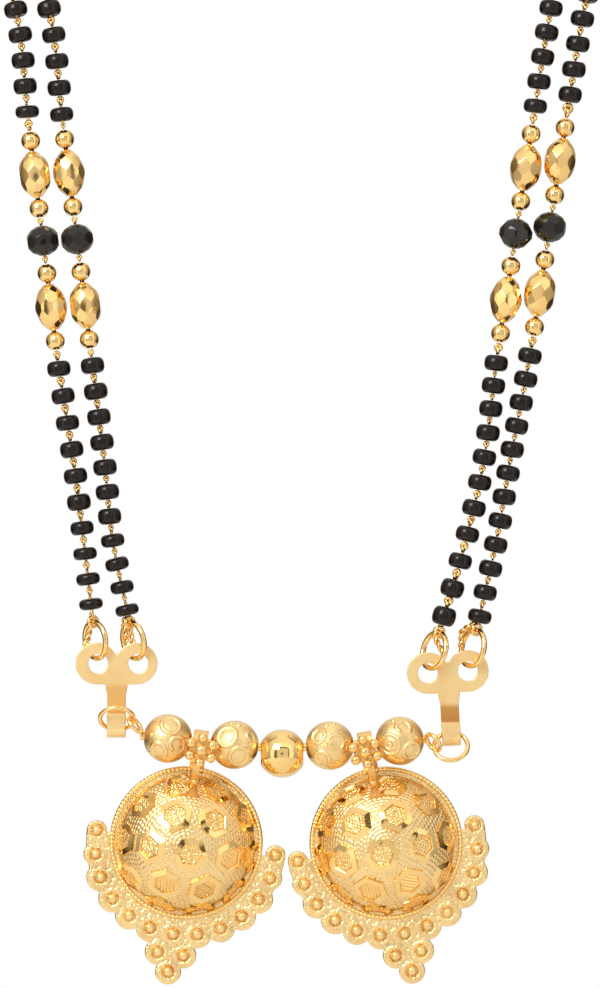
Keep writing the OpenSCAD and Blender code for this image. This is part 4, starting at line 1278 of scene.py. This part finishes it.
# %% Build the flower and the hanger
FLOWER_X, FLOWER_Y, FLOWER_Z = {"left": 0.29, "right": -0.3}, -3.05, -0.94
PETAL_R, PETAL_RING, MIDDLE_UP = 0.62, 1.55, 0.12
FOOT_BALL_R, FOOT_BALL_Z, FOOT_LONG, FOOT_TOP, FOOT_WIDE = 0.5, -5.1, 1.9, 0.7, 2.6
FOOT_ROWS, FOOT_COLUMNS, FOOT_FLARE = 9, 8, 1.5
RIDGE_UP, RIDGE_FALL, FOOT_EDGE = 0.3, 0.18, -0.1
# Radius and height, turned round an axis
TUBE = [(0.85, -0.9), (1.38, -0.9), (1.45, -0.82), (1.45, 0.82), (1.38, 0.9), (0.85, 0.9)]
DISC = [(0, -0.2), (1.36, -0.2), (1.45, -0.12), (1.45, 0.12), (1.36, 0.2), (0, 0.2)]
POST = [(0, -0.65), (0.7, -0.65), (0.7, 0.65), (0, 0.65)]


def soft_block(size, soft, at, lean):
    block = bmesh.new()
    bmesh.ops.create_cube(block, size=1)
    bmesh.ops.scale(block, vec=size, verts=block.verts)
    bmesh.ops.bevel(block, geom=block.edges[:], offset=soft, segments=2, profile=0.5, affect="EDGES")
    return moved(shape_of(block), shift(*at) @ spin(lean, "X"))


def over_dome(x, z, lift):
    """Place over the dome's front at x and z, in the pendant's space."""
    return x, DOME_Y - sqrt((DOME_R + lift) ** 2 - x * x - (z + HANG) ** 2), z


def strap_foot():
    """The three-sided foot: it widens downwards and follows the dome, with a ridge along its middle."""
    points = []
    for i in range(FOOT_ROWS + 1):
        t = i / FOOT_ROWS
        half = FOOT_TOP / 2 + (FOOT_WIDE / 2 - FOOT_TOP / 2) * t ** FOOT_FLARE
        for j in range(FOOT_COLUMNS + 1):
            across = 2 * j / FOOT_COLUMNS - 1
            at_edge = abs(across) == 1 or i == FOOT_ROWS
            lift = FOOT_EDGE if at_edge else RIDGE_UP - RIDGE_FALL * abs(across)
            points.append(over_dome(half * across, FOOT_BALL_Z - FOOT_LONG * t, lift))
    return np.array(points), skinned(numbered(FOOT_ROWS + 1, FOOT_COLUMNS + 1), around=False)


def flower_shape(side):
    petals = [(PETAL_RING * cos(radians(a)), 0, PETAL_RING * sin(radians(a)), PETAL_R)
              for a in range(30, 360, 60)]
    return joined([moved(ball(r, 14, 24), shift(FLOWER_X[side] + x, FLOWER_Y + y, FLOWER_Z + z))
                   for x, y, z, r in petals + [(0, -MIDDLE_UP, 0, PETAL_R + MIDDLE_UP)]])


def hanger_shape(side):
    return joined([
        moved(turned(TUBE, 40, closed=True), spin(90, "Y")),
        moved(turned(POST, 24), shift(0, -1.85, -0.5) @ spin(90, "X")),
        soft_block((0.95, 0.5, 4.8), 0.12, at=(0, -1.403, -3.475), lean=29),
        soft_block((1.8, 0.9, 3.2), 0.1, at=(0, 0.976, -2.49), lean=38),
        moved(turned(DISC, 36), shift(FLOWER_X[side], FLOWER_Y + 0.6, FLOWER_Z) @ spin(90, "X")),
        moved(ball(FOOT_BALL_R, 12, 20), shift(*over_dome(0, FOOT_BALL_Z, 0.15))),
        strap_foot()])


add_pendant_piece("flower", {side: flower_shape(side) for side in PENDANTS}, polished_gold)
add_pendant_piece("hanger", {side: hanger_shape(side) for side in PENDANTS}, matt_shaded_gold, 35)

# %% [markdown]
# ## Measure and finish
# The finished model is meant to fill the same box as the solids. Both boxes are printed, so that they
# can be compared.

# %% Print the two boxes and finish
seen_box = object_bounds()
for axis, low_cad, high_cad, low, high in zip("xyz", *cad_box, *seen_box):
    print(f"{axis}: solids {low_cad / MM:.1f} to {high_cad / MM:.1f} mm,",
          f"model {low / MM:.1f} to {high / MM:.1f} mm")
